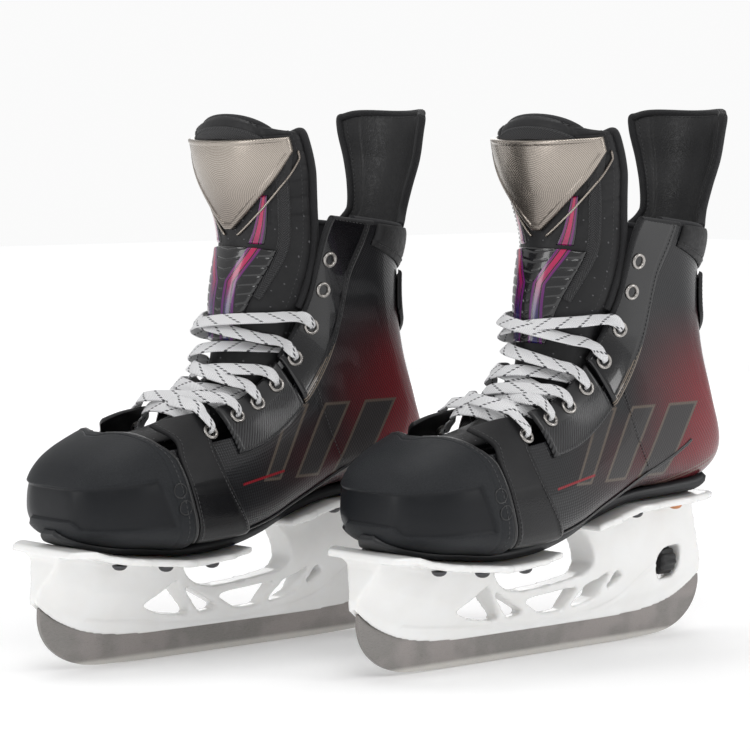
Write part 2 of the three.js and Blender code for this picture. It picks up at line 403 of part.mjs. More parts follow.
function tongueBadge() {
  // a shield, wide at the top and running to a point
  const f = tongueSheet(TONGUE_TOP), at = (a, b, off) => f(mix(0.07, 0.6, a), 0.5 - (b - 0.5) * mix(0.06, 0.84, Math.min(1, a * 1.12)), off);
  return skin(3, 4, (a, b) => at(a, b, GAP + 3.4), (a, b) => at(a, b, GAP + 1.4));
}
function laceGuard() {
  // the moulded guard under the badge, between the rows of eyelets
  const f = tongueSheet(TONGUE), at = (a, b, off) => f(mix(0.66, 0.985, a), 0.5 - (b - 0.5) * mix(0.34, 0.6, a), off);
  return skin(4, 4, (a, b) => at(a, b, GAP + 2), (a, b) => at(a, b, GAP + 0.6));
}
function rivet(x, y) {
  // domed head under the flange
  const z = Math.min(ft(x - 5), ft(x + 5)) - FLANGE_THICK - 0.9, ring = (r, h) => Array.from({ length: 6 }, (_, i) => { const a = (i / 6) * 2 * Math.PI; return [x + r * Math.cos(a), y + r * Math.sin(a), z + h]; });
  return loft([ring(2.2, -2.4), ring(4, -1.2), ring(4.4, -GAP)]);
}
// ---- The lace: one flat cord through the lower six pairs of eyelets ----
// its height over the middle of the tongue at each pair of eyelets, toe to top
const CROWN = [[-58, 152], [-38.5, 155], [-27.5, 162.5], [-23, 174.5], [-19.5, 188], [-16.5, 201]];
const V3 = (p) => new THREE.Vector3(...p);
const grow = ([x, z]) => [BALL_X + BOOT_SCALE * (x - BALL_X), BALL_Z + BOOT_SCALE * (z - BALL_Z)];
function stationOf(i) { const k = Math.min(4, Math.floor(i)); return mix(LACE_U[k], LACE_U[k + 1], i - k); }
function setOf(i) { const k = Math.min(6, Math.floor(i)); return mix(EDGE_SET[k], EDGE_SET[k + 1], i - k); }
function beside(i, side, mm, off) { const u = stationOf(i); return V3(last(u, reach(u, mm), side, off)); }
function crest(i, q, laid, lift) {
  const c = grow(smooth(CROWN, i)), hub = grow([smooth(CROWN, i)[0] + 34, smooth(CROWN, i)[1] - 30]);
  const hint = new THREE.Vector3(c[0] - hub[0], 0, c[1] - hub[1]).normalize();
  const mid = new THREE.Vector3(c[0], 0, c[1]).addScaledVector(hint, lift), set = setOf(i);
  const side = q < 0 ? -1 : 1, k = Math.abs(q), turn = 1.36;
  const [eye, edge] = laid[side] ? [beside(i, side, set - 4.4, TOP + 3.8), beside(i, side, 0.2, TOP + 3)] : [beside(i, side, set - 5, -3.6), beside(i, side, 0.6, -3.6)];
  if (k > 0.7) return [edge.clone().lerp(eye, (k - 0.7) / 0.3), beside(i, side, set - 4, 1).sub(beside(i, side, set - 4, 0))];
  const a = (k / 0.7) * turn, d = (1 - Math.cos(a)) / (1 - Math.cos(turn)); // round the front of the tongue on part of an ellipse
  const p = new THREE.Vector3(mix(mid.x, edge.x, d), (edge.y * Math.sin(a)) / Math.sin(turn), mix(mid.z, edge.z, d));
  return [p, p.clone().sub(new THREE.Vector3(hub[0], 0, hub[1])).normalize()];
}
function lace() {
  const pts = [];
  const put = (v, h, w = LACE_WIDE, t = LACE_THICK) => pts.push({ v, h, w, t });
  // through eyelet i: laid 1 if the cord lies over the facing beside it, 0 if it runs behind the facing
  const through = (i, side, outward) => {
    const u = LACE_U[i], at = (mm, off) => V3(last(u, reach(u, EDGE_SET[i] + mm), side, off)), { n, t } = eyeletFrame(i, side);
    const seq = [[at(-1.5, TOP + 3.8), n.clone().lerp(t, 0.3), 3.6, 1.6], [at(-0.1, TOP + 2.2), n.clone().lerp(t, 0.75), 2.5, 1.7], [at(0, 0.8), t, 2.5, 1.7], [at(0, -2), t, 2.5, 1.7], [at(-1.8, -3.8), n.clone().lerp(t, 0.4).negate(), 4.2, 1.4]];
    if (outward) seq.reverse();
    for (const [v, h, w, th] of seq) put(v, h.clone().normalize(), w, th);
  };
  const strand = (i, side, j, laidA, laidB, lift) => {
    const laid = { [side]: laidA, [-side]: laidB };
    for (let k = 0; k <= 8; k++) {
      const t = k / 8, q = side * mix(1, -1, t);
      const [v, h] = crest(mix(i, j, 0.5 - 0.5 * Math.cos(Math.PI * t)), q, laid, lift);
      put(v, h, LACE_WIDE * (0.72 + 0.28 * Math.sin(Math.PI * t) ** 0.5));
    }
  };
  const tail = (i, side, first) => {
    const seq = [[-5, -3.6], [0, -3.9], [8, -4.1]].map(([mm, off]) => [beside(i + mm / 40, side, EDGE_SET[i] - 6, off), eyeletFrame(i, side).n]);
    if (first) seq.reverse();
    for (const [v, h] of seq.slice(0, 2)) put(v, h, 5);
  };
  through(4, -1, true); strand(4, -1, 5, 1, 1, 1.3 + LACE_THICK); through(5, 1, false);
  for (const k of [4.72, 4.3, 3.65, 3.3]) put(beside(k, 1, 5, -4.2), eyeletFrame(4, 1).n, 4.2, 1.2);
  through(3, 1, true); strand(3, 1, 2, 1, 0, 0); through(2, -1, true);
  strand(2, -1, 1, 1, 0, 1.3 + LACE_THICK); through(1, 1, true);
  strand(1, 1, 0, 1, 1, 1.3 + LACE_THICK); through(0, -1, false);
  strand(0, -1, 0, 0, 0, -5); through(0, 1, true);
  strand(0, 1, 1, 1, 0, 0); through(1, -1, true);
  strand(1, -1, 2, 1, 0, 0); through(2, 1, true);
  strand(2, 1, 3, 1, 0, 1.3 + LACE_THICK); through(3, -1, true);
  strand(3, -1, 4, 1, 0, 0.4); through(4, 1, true);
  strand(4, 1, 5, 1, 1, 0); through(5, -1, false);
  let N = null;
  const rings = pts.map(({ v, h, w, t }, k) => {
    const T = pts[Math.min(pts.length - 1, k + 1)].v.clone().sub(pts[Math.max(0, k - 1)].v).normalize();
    const n = h.clone().addScaledVector(T, -h.dot(T)).normalize();
    if (N && n.dot(N) < 0) n.negate();
    N = n;
    const W = new THREE.Vector3().crossVectors(T, n);
    return [[-1, -1], [1, -1], [1, 1], [-1, 1]].map(([a, b]) => v.clone().addScaledVector(W, (a * w) / 2).addScaledVector(n, (b * t) / 2).toArray());
  });
  return loft(rings);
}

// ---- The pair ----
const SKATE = {
  runner, holder, lock_wheel: lockWheel, lock_bolt: lockBolt, outsole, boot_shell: bootShell, toe_cap: toeCap,
  saddle_lateral: saddle, eyestay_lateral: eyestay, facing_lateral: facing, eyelets_lateral: eyelets,
  tongue_lower: tongueLower, tongue_top: tongueTop, tongue_badge: tongueBadge, lace_guard: laceGuard, liner, footbed,
  collar_pad: collarPad, tendon_base: tendonBase, tendon_guard: tendonGuard,
  rivet_front_lateral: () => rivet(-72, -29), rivet_rear_lateral: () => rivet(62, -23),
  lace,
};
const COLOUR = {
  runner: 0x7d7a76, holder: 0xf2f0eb, lock_wheel: 0x1b1c1e, lock_bolt: 0x9b9b98, outsole: 0x1d1f21, boot_shell: 0x26272b, toe_cap: 0x35383b, saddle: 0x1b1c1e,
  eyestay: 0x222326, facing: 0x17181a, eyelets: 0x9a958c, tongue_lower: 0x1c1d20, tongue_top: 0x1c1d20, tongue_badge: 0x8f857a, lace_guard: 0x5a1230,
  liner: 0x2b2c2f, footbed: 0x3b3d40, collar_pad: 0x2a2b2d, tendon_base: 0x1e1f21, tendon_guard: 0x202124, rivet: 0x6b6c6e, lace: 0xf2f2f2,
};
const group = new THREE.Group();
for (const [name, make] of Object.entries(SKATE)) {
  const made = solid(make()), key = Object.keys(COLOUR).find((k) => name.startsWith(k));
  // a lateral piece has a mirrored medial twin; the right skate is the left one mirrored
  for (const [twin, flip] of name.endsWith("_lateral") ? [[name, 1], [name.replace("lateral", "medial"), -1]] : [[name, 1]])
    for (const [letter, mirror] of [["L", 1], ["R", -1]]) {
      const g = geometry(made), p = g.attributes.position.array, ix = g.index.array;
      for (let i = 0; i < p.length; i += 3) { p[i] += (mirror * PAIR_AHEAD) / 2; p[i + 1] = mirror * (flip * p[i + 1] - PAIR_APART / 2); }
      if (mirror * flip < 0) for (let i = 0; i < ix.length; i += 3) [ix[i + 1], ix[i + 2]] = [ix[i + 2], ix[i + 1]];
      const mesh = new THREE.Mesh(g, new THREE.MeshStandardMaterial({ color: COLOUR[key] }));
      mesh.name = letter + "_" + twin;
      group.add(mesh);
    }
}
const box = new THREE.Box3().setFromObject(group), mid = box.getCenter(new THREE.Vector3());
for (const mesh of group.children) mesh.geometry.translate(-mid.x, -mid.y, -box.min.z);
export default group;
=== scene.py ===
"""A pair of ice-hockey skates: moulded toe caps, composite boots, padded tongues, woven laces, white holders
and steel runners."""
import bpy, bmesh, math
import numpy as np
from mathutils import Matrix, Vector
from mathutils.geometry import tessellate_polygon


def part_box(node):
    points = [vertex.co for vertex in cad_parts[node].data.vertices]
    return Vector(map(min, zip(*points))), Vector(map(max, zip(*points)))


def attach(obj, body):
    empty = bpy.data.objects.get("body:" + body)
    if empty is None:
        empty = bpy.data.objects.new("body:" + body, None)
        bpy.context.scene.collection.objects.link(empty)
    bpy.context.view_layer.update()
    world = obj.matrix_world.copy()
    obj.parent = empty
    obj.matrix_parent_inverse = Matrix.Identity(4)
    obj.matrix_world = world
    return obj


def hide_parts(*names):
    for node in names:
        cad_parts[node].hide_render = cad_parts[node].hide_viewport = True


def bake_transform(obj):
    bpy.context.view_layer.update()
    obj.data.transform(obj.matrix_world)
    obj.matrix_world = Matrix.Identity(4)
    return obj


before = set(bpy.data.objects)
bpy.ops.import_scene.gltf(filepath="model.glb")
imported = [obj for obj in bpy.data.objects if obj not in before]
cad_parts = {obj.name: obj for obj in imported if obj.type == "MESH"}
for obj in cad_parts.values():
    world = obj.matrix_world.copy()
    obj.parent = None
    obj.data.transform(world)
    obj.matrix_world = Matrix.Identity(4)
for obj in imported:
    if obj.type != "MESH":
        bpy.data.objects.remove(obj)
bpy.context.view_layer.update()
scene = bpy.context.scene

# ==== The view, the floor and the lights ====
# A long lens a little above boot height, in front and to the left of the pair, over one wide pale sweep of
# paper.
camera = bpy.data.objects.new("camera", bpy.data.cameras.new("camera"))
scene.collection.objects.link(camera)
scene.camera = camera
camera.data.lens, camera.data.sensor_width, camera.data.clip_end = 143.36, 36, 50
camera.location = (-1.18775, -1.3153, 0.3024)
camera.rotation_euler = Vector((-0.6669, -0.7412, 0.0771)).to_track_quat("Z", "Y").to_euler()
scene.view_settings.view_transform = "Standard"


class Finish:
    """A node material under construction: each method adds one node and returns its output socket."""

    def __init__(self, name, **sockets):
        self.material = bpy.data.materials.new(name)
        self.material.use_nodes = True
        self.tree = self.material.node_tree
        self.shader = self.tree.nodes["Principled BSDF"]
        for key, value in sockets.items():
            value = (*value, 1) if isinstance(value, tuple) else value
            self.shader.inputs[key.replace("_", " ")].default_value = value

    def node(self, kind, inputs=(), out=0, **settings):
        n = self.tree.nodes.new(kind)
        for key, value in settings.items():
            setattr(n, key, value)
        for key, value in dict(inputs).items():
            if isinstance(value, bpy.types.NodeSocket):
                self.tree.links.new(value, n.inputs[key])
            elif value is not None:
                n.inputs[key].default_value = value
        return n.outputs[out]

    def math(self, op, a, b=None, c=None, clamp=False):
        return self.node("ShaderNodeMath", {0: a, 1: b, 2: c}, operation=op, use_clamp=clamp)

    def place(self):
        """Where the point lies on the skate, mm: x to the heel, y across, z up, as three sockets."""
        v = self.node("ShaderNodeAttribute", out=1, attribute_name="place")
        n = self.tree.nodes.new("ShaderNodeSeparateXYZ")
        self.tree.links.new(v, n.inputs[0])
        return v, n.outputs[0], n.outputs[1], n.outputs[2]

    def along(self):
        """The piece's own map, mm: distance along it and across it, as two sockets."""
        n = self.tree.nodes.new("ShaderNodeSeparateXYZ")
        self.tree.links.new(self.node("ShaderNodeUVMap", uv_map="cloth"), n.inputs[0])
        return n.outputs[0], n.outputs[1]

    def noise(self, vector, scale, detail=3.0, roughness=0.55):
        return self.node("ShaderNodeTexNoise", {"Vector": vector, "Scale": scale, "Detail": detail,
            "Roughness": roughness})

    def step(self, value, low, high, to_low=0.0, to_high=1.0):
        """A smooth step of value from low to high."""
        return self.node("ShaderNodeMapRange", {0: value, 1: low, 2: high, 3: to_low, 4: to_high},
            interpolation_type="SMOOTHSTEP")

    def mix(self, share, a, b):
        c = [(*v, 1) if isinstance(v, tuple) else v for v in (a, b)]
        return self.node("ShaderNodeMix", {0: share, 6: c[0], 7: c[1]}, out=2, data_type="RGBA")

    def set(self, socket, value):
        self.tree.links.new(value, self.shader.inputs[socket])
        return self

    def bump(self, height, depth, strength=1.0):
        """Relief of that depth in metres."""
        return self.set("Normal", self.node("ShaderNodeBump", {"Height": height, "Distance": depth,
            "Strength": strength}))


floor_mesh = bpy.data.meshes.new("floor")
floor_mesh.from_pydata([(-6, -6, -0.0004), (6, -6, -0.0004), (6, 6, -0.0004), (-6, 6, -0.0004)], [],
    [(0, 1, 2, 3)])
floor = bpy.data.objects.new("floor", floor_mesh)
scene.collection.objects.link(floor)
paper = Finish("pale_paper", Base_Color=(0.93, 0.93, 0.935), Roughness=0.8, Emission_Color=(1.0, 1.0, 1.0),
    Emission_Strength=0.16)
# painted light: the paper glows, weakly round the skates and more strongly further out, to keep the backdrop
# white
reach = paper.node("ShaderNodeVectorMath", {0: paper.node("ShaderNodeTexCoord", out=3)}, out=1,
    operation="LENGTH")
paper.set("Emission Strength", paper.step(reach, 0.5, 3.0, 0.14, 0.52))
paper.set("Base Color", paper.mix(paper.noise(paper.node("ShaderNodeTexCoord", out=3), 3.0),
    (0.93, 0.93, 0.935), (0.945, 0.945, 0.945)))
floor_mesh.materials.append(paper.material)
world = bpy.data.worlds.new("studio")
world.use_nodes = True
world.node_tree.nodes["Background"].inputs[0].default_value = (1, 1, 1, 1)
light_path = world.node_tree.nodes.new("ShaderNodeLightPath")
strength = world.node_tree.nodes.new("ShaderNodeMapRange")
# the paper behind is white where it is looked at
strength.inputs[3].default_value, strength.inputs[4].default_value = 0.52, 0.96
world.node_tree.links.new(light_path.outputs[0], strength.inputs[0])
world.node_tree.links.new(strength.outputs[0], world.node_tree.nodes["Background"].inputs[1])
scene.world = world
for name, place, aim, size, power in [
    ("key", (-1.1, -1.5, 1.7), (0, 0, 0.15), (1.0, 0.8), 9.5),
    ("top", (0.1, 0.2, 1.7), (0, 0, 0.15), (1.5, 0.7), 9),
    ("side", (0.9, -1.6, 0.9), (0.05, 0, 0.15), (0.35, 1.2), 6),
    ("left", (-1.7, 0.5, 0.8), (0, 0, 0.15), (0.4, 1.3), 6),
    ("back", (1.3, 1.4, 0.9), (0, 0, 0.2), (0.8, 1.2), 4)]:
    lamp = bpy.data.objects.new(name, bpy.data.lights.new(name, "AREA"))
    scene.collection.objects.link(lamp)
    lamp.data.shape, lamp.data.size, lamp.data.size_y, lamp.data.energy = "RECTANGLE", *size, power
    lamp.location = place
    lamp.rotation_euler = (Vector(place) - Vector(aim)).to_track_quat("Z", "Y").to_euler()

# ==== Runners ====
# A blade of stainless steel 3 mm thick, ground along its sides and radiused at both ends, hooked and bolted
# into the holder. Every piece is worked out in millimetres for the left skate, from the ice under the
# middle of its runner, and mirrored for the right.
foot = {s: (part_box(s + "_runner")[0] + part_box(s + "_runner")[1]) * 500 for s in "LR"}
SKATE = {"L": "left", "R": "right"}


def make(name, points, faces, uv, finish, body="skate", stands=(), twin=False, weld=False, smooth=True,
    soft=None, turn=None):
    """Puts one piece on each skate (and on each side of it, for a twin): points in mm, faces turned outward
    by the sign of the enclosed volume, uv in mm as the map "cloth", and every point's place on the skate as
    an attribute. Given a turn = (body, start, end), the piece is left on no body with its transform baked
    in; its body, start and end are not used. Returns the objects."""
    points, faces, made = np.asarray(points, float).reshape(-1, 3), np.asarray(faces, int), []
    uv = np.asarray(uv, float).reshape(-1, 2)
    a, b, c, d = (points[faces[:, k]] for k in (0, 1, 2, -1))
    if (np.einsum("ij,ij->i", a, np.cross(b, c)) + np.einsum("ij,ij->i", a, np.cross(c, d))).sum() < 0:
        faces = faces[:, ::-1]
    for letter, mirror in (("L", 1), ("R", -1)):
        for side, flip in (("_lateral", 1), ("_medial", -1)) if twin else (("", 1),):
            here = points * (1, flip, 1)
            mesh = bpy.data.meshes.new(letter + "_" + name + side)
            world_points = (here * (1, mirror, 1) + (foot[letter].x, foot[letter].y, 0)) / 1000
            turned = faces[:, ::-1] if flip * mirror < 0 else faces
            rows = [[v for k, v in enumerate(row) if v != row[k - 1]] for row in turned.tolist()]
            corners = np.array([v for row in rows for v in row])
            mesh.from_pydata(world_points.tolist(), [], rows)
            mesh.attributes.new("place", "FLOAT_VECTOR", "POINT").data.foreach_set("vector",
                here.astype(np.float32).ravel())
            layer = mesh.uv_layers.new(name="cloth")
            layer.data.foreach_set("uv", uv[corners].astype(np.float32).ravel())
            mesh.polygons.foreach_set("use_smooth", np.full(len(faces), smooth))
            mesh.materials.append(finish.material)
            if weld:
                cut = bmesh.new()
                cut.from_mesh(mesh)
                bmesh.ops.remove_doubles(cut, verts=cut.verts, dist=2e-6)
                cut.to_mesh(mesh)
                cut.free()
            mesh.update()
            piece = bpy.data.objects.new(mesh.name, mesh)
            scene.collection.objects.link(piece)
            if turn:
                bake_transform(piece)
            else:
                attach(piece, SKATE[letter] + "_" + body)
            if stands:
                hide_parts(*(letter + "_" + n + (side if twin else "") for n in stands))
            made.append(piece)
    return made


def catmull(table, t):
    """The Catmull-Rom curve through the rows of table, at parameters t counted in rows."""
    table, t = np.asarray(table, float), np.asarray(t, float)
    n = len(table) - 1
    k = np.clip(np.floor(t), 0, n - 1).astype(int)
    f = (t - k)[..., None]
    a, b, c, d = table[np.maximum(k - 1, 0)], table[k], table[k + 1], table[np.minimum(k + 2, n)]
    return ((2 * f**3 - 3 * f**2 + 1) * b + (f**3 - 2 * f**2 + f) * (c - a) / 2
        + (3 * f**2 - 2 * f**3) * c + (f**3 - f**2) * (d - b) / 2)


def plate(name, outline, half, bevel, finish, **options):
    """A flat plate from a closed side outline [x, z]: rings of the outline at the two faces and, a bevel
    further in, the flats, each closed by one many-sided face split into triangles."""
    ring = np.asarray(outline, float)
    ahead, behind = np.roll(ring, -1, 0) - ring, ring - np.roll(ring, 1, 0)
    unit = lambda v: v / np.maximum(np.linalg.norm(v, axis=1, keepdims=True), 1e-9)
    normal = unit(unit(ahead) + unit(behind))[:, ::-1] * (1, -1)
    area = (ring[:, 0] * np.roll(ring[:, 1], -1) - np.roll(ring[:, 0], -1) * ring[:, 1]).sum()
    inner = ring - normal * bevel * np.sign(area)
    layers = [(inner, -half), (ring, -half + bevel), (ring, half - bevel), (inner, half)]
    points = np.concatenate([np.column_stack([r[:, 0], np.full(len(r), y), r[:, 1]]) for r, y in layers])
    n, k = len(ring), np.arange(len(ring))
    sides = np.concatenate([np.column_stack([i * n + k, i * n + (k + 1) % n, (i + 1) * n + (k + 1) % n,
        (i + 1) * n + k]) for i in range(3)])
    tri = np.array(tessellate_polygon([[Vector((*p, 0)) for p in inner]]))
    ends = np.concatenate([tri, tri[:, ::-1] + 3 * n])
    side_turn = np.sign((points[sides[:, 0]] * np.cross(points[sides[:, 1]], points[sides[:, 2]])).sum())
    end_turn = np.sign((points[ends[:, 0]] * np.cross(points[ends[:, 1]], points[ends[:, 2]])).sum())
    if side_turn != end_turn:
        ends = ends[:, ::-1]
    faces = np.concatenate([sides, np.column_stack([ends, ends[:, 2]])])
    return make(name, points, faces, points[:, [0, 2]], finish, **options)


steel = Finish("ground_steel", Metallic=1.0, Roughness=0.34, Base_Color=(0.30, 0.285, 0.275))
_, sx, sy, sz = steel.place()
hollow = steel.step(sz, 2.0, 5.0)  # the strip above the running edge is brighter where the stone has been
grain = steel.noise(steel.node("ShaderNodeCombineXYZ", {0: steel.math("MULTIPLY", sx, 0.6), 1: sy,
    2: steel.math("MULTIPLY", sz, 9.0)}), 0.9, 4)
stain = steel.noise(steel.node("ShaderNodeCombineXYZ", {0: sx, 1: sy, 2: sz}), 0.035, 2)
tint = steel.mix(steel.step(stain, 0.42, 0.62), (0.235, 0.225, 0.215), (0.31, 0.285, 0.275))
tint = steel.mix(steel.math("MULTIPLY", steel.step(grain, 0.3, 0.75), 0.35), tint, (0.42, 0.40, 0.385))
steel.set("Base Color", steel.mix(hollow, (0.62, 0.60, 0.57), tint))
steel.set("Roughness", steel.step(grain, 0.3, 0.7, 0.26, 0.42)).bump(grain, 0.00004, 0.5)
H = 142
lower = catmull([[-H, 37.6], [-H, 29], [-H + 3, 20], [-H + 9.5, 12], [-H + 20, 5.4], [-H + 34, 1.6],
    [-H + 58, 0.35], [-45, 0], [45, 0], [H - 58, 0.35], [H - 34, 1.6], [H - 20, 5.4], [H - 9.5, 12],
    [H - 3, 20], [H, 28.5], [H, 34.5]], np.linspace(0, 15, 181))
lower[:, 1] = np.maximum(lower[:, 1], 0)
upper = [[H - 3, 35.2], [H - 13, 32.5], [H - 22, 27], [H - 34, 24], [97, 23.5], [97, 42.7], [93, 42.7],
    [93, 49.3], [97, 49.3], [97, 52.4], [88, 52.4], [88, 22.2], [60, 21], [-60, 21], [-95, 22.5], [-101, 24],
    [-101, 37], [-108, 37], [-108, 33.4], [-116, 33.4], [-116, 31], [-124, 30.5], [-134, 34.6],
    [-H + 3, 38.6]]
plate("steel_runner", np.concatenate([lower, upper]), 1.5, 0.22, steel, body="runner", stands=("runner",),
    weld=True, smooth=False)

# ==== The last ====
# The wooden form that the whole upper is pulled over. Every piece above the runner follows this one
# surface, so it comes first. Each station is a section from the facing edge [x, z] at a half opening, out
# to a half width, and in to the keel [x, z]; then how far down the widest point lies, how flat the crown
# is, and how square the foot of the section is.
stations = np.array([
    [-131.5, 98.5, -131.5, 96.5, 0, 0.6, 0.5, 1, 1], [-130.8, 108.5, -131, 87.5, 0, 16.5, 0.52, 1, 0.88],
    [-128, 114.8, -129, 82.8, 0, 25, 0.55, 1, 0.78],
    [-122.5, 120.8, -124.5, 79.8, 0, 32.5, 0.59, 1, 0.7], [-113, 127, -116, 77, 0, 39, 0.61, 1, 0.64],
    [-101, 132.5, -103, 74.4, 3, 43, 0.62, 0.95, 0.6],
    [-91, 136, -82, 72, 12, 45, 0.62, 0.8, 0.6], [-80, 139, -60, 69.6, 20, 46.5, 0.64, 0.6, 0.58],
    [-62, 143.5, -42, 69.4, 23, 46.5, 0.66, 0.45, 0.58],
    [-38, 146.5, -20, 71.2, 23.5, 45, 0.68, 0.4, 0.58], [-14, 152, 3, 76.5, 23.5, 42.5, 0.68, 0.4, 0.58],
    [3, 162.5, 28, 86, 24, 40.5, 0.68, 0.35, 0.58],
    [17, 178, 60, 94, 26, 38.5, 0.66, 0.35, 0.6], [27, 196, 96, 95.5, 30, 37.5, 0.62, 0.35, 0.62],
    [33, 213, 122, 97, 34, 37, 0.58, 0.35, 0.66],
    [35.5, 229, 141, 109, 37, 37, 0.54, 0.35, 0.74], [37, 240, 138, 130, 39, 37.5, 0.5, 0.35, 0.84],
    [38, 248, 128, 162, 41, 38.5, 0.48, 0.35, 0.92],
    [39, 253.5, 121.5, 196, 42.5, 40, 0.46, 0.35, 0.95], [40, 257, 120.5, 226, 43.5, 41.5, 0.45, 0.35, 0.95],
    [41, 259, 124, 250, 44, 43, 0.44, 0.35, 0.95]])
RIM = 20
fine = catmull(stations, np.linspace(0, RIM, 1001))
ex, ez, kx, kz, ye, w, tm, c, q = (fine[:, k : k + 1] for k in range(9))
s = np.linspace(0, 1, 57)[None, :-1]
p = 1 - 0.2 * c
ye = np.maximum(ye, 0)
upper_t = tm * ((1 - c) * s + c * (1 - np.cos(s * np.pi / 2) ** p))
upper_y = ye + (w - ye) * np.sin(s * np.pi / 2) ** p
s = np.linspace(0, 1, 57)[None, :]
lower_t, lower_y = tm + (1 - tm) * np.sin(s * np.pi / 2) ** q, w * np.maximum(np.cos(s * np.pi / 2), 0) ** q
t, y = np.concatenate([upper_t, lower_t], 1), np.concatenate([upper_y, lower_y], 1)
y[:, -1] = 0
curve = np.stack([ex + (kx - ex) * t, y, ez + (kz - ez) * t], -1)
run = np.concatenate([np.zeros((1001, 1)), np.cumsum(np.linalg.norm(np.diff(curve, axis=1), axis=2), 1)], 1)
girth = run[:, -1]
LAST = np.stack([np.stack([np.interp(np.linspace(0, 1, 257) * girth[k], run[k], curve[k, :, a])
    for a in range(3)], -1) for k in range(1001)])
du = LAST[np.minimum(np.arange(1001) + 3, 1000)] - LAST[np.maximum(np.arange(1001) - 3, 0)]
df = LAST[:, np.minimum(np.arange(257) + 5, 256)] - LAST[:, np.maximum(np.arange(257) - 5, 0)]
NORMAL = np.cross(du, df)
NORMAL[LAST[..., 1] < 0.02, 1] = 0
NORMAL[0] = (-1, 0, 0)
NORMAL /= np.maximum(np.linalg.norm(NORMAL, axis=-1, keepdims=True), 1e-9)
NORMAL[:2] = (-1, 0, 0)
LENGTH = np.concatenate([[0], np.cumsum(np.linalg.norm(np.diff(LAST[:, 128], axis=0), axis=1))])


def bilinear(table, u, f):
    """table between its stations u and its shares f of the girth, both as arrays of one shape."""
    a, b = np.clip(u * 50, 0, 999.999), np.clip(f * 256, 0, 255.999)
    i, j = a.astype(int), b.astype(int)
    x, z = (a - i)[..., None], (b - j)[..., None]
    return (1 - x) * ((1 - z) * table[i, j] + z * table[i, j + 1]) + x * ((1 - z) * table[i + 1, j]
        + z * table[i + 1, j + 1])


def girth_at(u):
    return np.interp(u, np.linspace(0, RIM, 1001), girth)


def line(u, m):
    """The share of the girth at line m, counted -8 and +8 at the two facing edges to 0 at the keel. The first
    three lines lie at fixed distances from the facing edge, and the rest share what is left evenly."""
    k = 8 - np.abs(m)
    reach = np.maximum(100, girth_at(u))
    near = np.interp(k, [0, 1, 2, 3], [0.6, 9.5, 21, 33]) / reach
    rest = 33 / reach + (1 - 33 / reach) * (k - 3) / 5
    return np.where((k <= 0.001) & (u < 5.4), 0, np.where(k <= 3, near, rest))


def boot(u, m, off=0.0):
    """The last at station u and line m, moved out along its normal by off."""
    u, m, off = np.broadcast_arrays(np.asarray(u, float), np.asarray(m, float), np.asarray(off, float))
    f = line(u, m)
    n = bilinear(NORMAL, u, f)
    n = n / np.maximum(np.linalg.norm(n, axis=-1, keepdims=True), 1e-9)
    side = np.stack([np.ones_like(u), np.where(m < 0, -1.0, 1.0), np.ones_like(u)], -1)
    return (bilinear(LAST, u, f) + off[..., None] * n) * side


def beside(u, mm, side, off=0.0):
    """The last at station u, mm down from the facing edge on one side, moved out by off."""
    u, mm, off = np.broadcast_arrays(np.asarray(u, float), np.asarray(mm, float), np.asarray(off, float))
    f = np.clip(mm / np.maximum(100, girth_at(u)), 0, 1)
    n = bilinear(NORMAL, u, f)
    n = n / np.maximum(np.linalg.norm(n, axis=-1, keepdims=True), 1e-9)
    return (bilinear(LAST, u, f) + off[..., None] * n) * (1, side, 1)


def cloth_map(u, m):
    """Distances in mm along the boot and down round it, which carry weave and grain at one size."""
    u, m = np.broadcast_arrays(np.asarray(u, float), np.asarray(m, float))
    return np.stack([np.interp(u, np.linspace(0, RIM, 1001), LENGTH), line(u, m) * girth_at(u)], -1)


def grid_faces(n, m, wrap=False):
    """Quads of a grid of n by m points; wrap joins the last column to the first."""
    i, j = np.meshgrid(np.arange(n - 1), np.arange(m if wrap else m - 1), indexing="ij")
    k = (j + 1) % m
    return np.stack([i * m + j, (i + 1) * m + j, (i + 1) * m + k, i * m + k], -1).reshape(-1, 4)


def walled(outer, inner, wrap=False):
    """Faces of a closed wall between two grids of one shape, listed outer then inner: both grids and the
    strips that join their edges."""
    n, m = outer.shape[:2]
    face = grid_faces(n, m, wrap)
    total, j, i = n * m, np.arange(m if wrap else m - 1), np.arange(n - 1)
    k = (j + 1) % m
    parts = [face, face[:, ::-1] + total, np.column_stack([j, k, k + total, j + total]),
        np.column_stack([k, j, j + total, k + total]) + (n - 1) * m]
    if not wrap:
        parts += [np.column_stack([(i + 1) * m, i * m, i * m + total, (i + 1) * m + total]),
            np.column_stack([i * m, (i + 1) * m, (i + 1) * m + total, i * m + total]) + m - 1]
    return np.concatenate(parts)


def sheet(name, outer, inner, cloth, finish, wrap=False, **options):
    """A piece made as a closed wall between two grids, with one map of distances in mm for both faces."""
    points = np.concatenate([outer.reshape(-1, 3), inner.reshape(-1, 3)])
    return make(name, points, walled(outer, inner, wrap), np.concatenate([cloth.reshape(-1, 2)] * 2), finish,
        **options)


def rolled(a, width):
    """0 at a = 0, rising as a quarter circle to 1 at a = width: the pressed or turned edge of a panel."""
    return np.sqrt(np.maximum(0, 1 - (1 - np.clip(a / width, 0, 1)) ** 2))

# ==== Holders ====
# One moulding of glossy white nylon: two towers with riveted flanges, a hollow trussed bridge, and a slot
# below for the steel. The side outline, cut by windows, is carried across an envelope that is thin at the
# steel and flares up into the flanges.
def solid_of(points, faces):
    """A plain mesh object of those points and faces, mm, faces outward, to be cut and cut with."""
    mesh = bpy.data.meshes.new("blank")
    mesh.from_pydata(np.asarray(points).tolist(), [], [list(f) for f in faces])
    blank = bpy.data.objects.new("blank", mesh)
    scene.collection.objects.link(blank)
    cut = bmesh.new()
    cut.from_mesh(mesh)
    bmesh.ops.recalc_face_normals(cut, faces=cut.faces)
    cut.to_mesh(mesh)
    cut.free()
    return blank


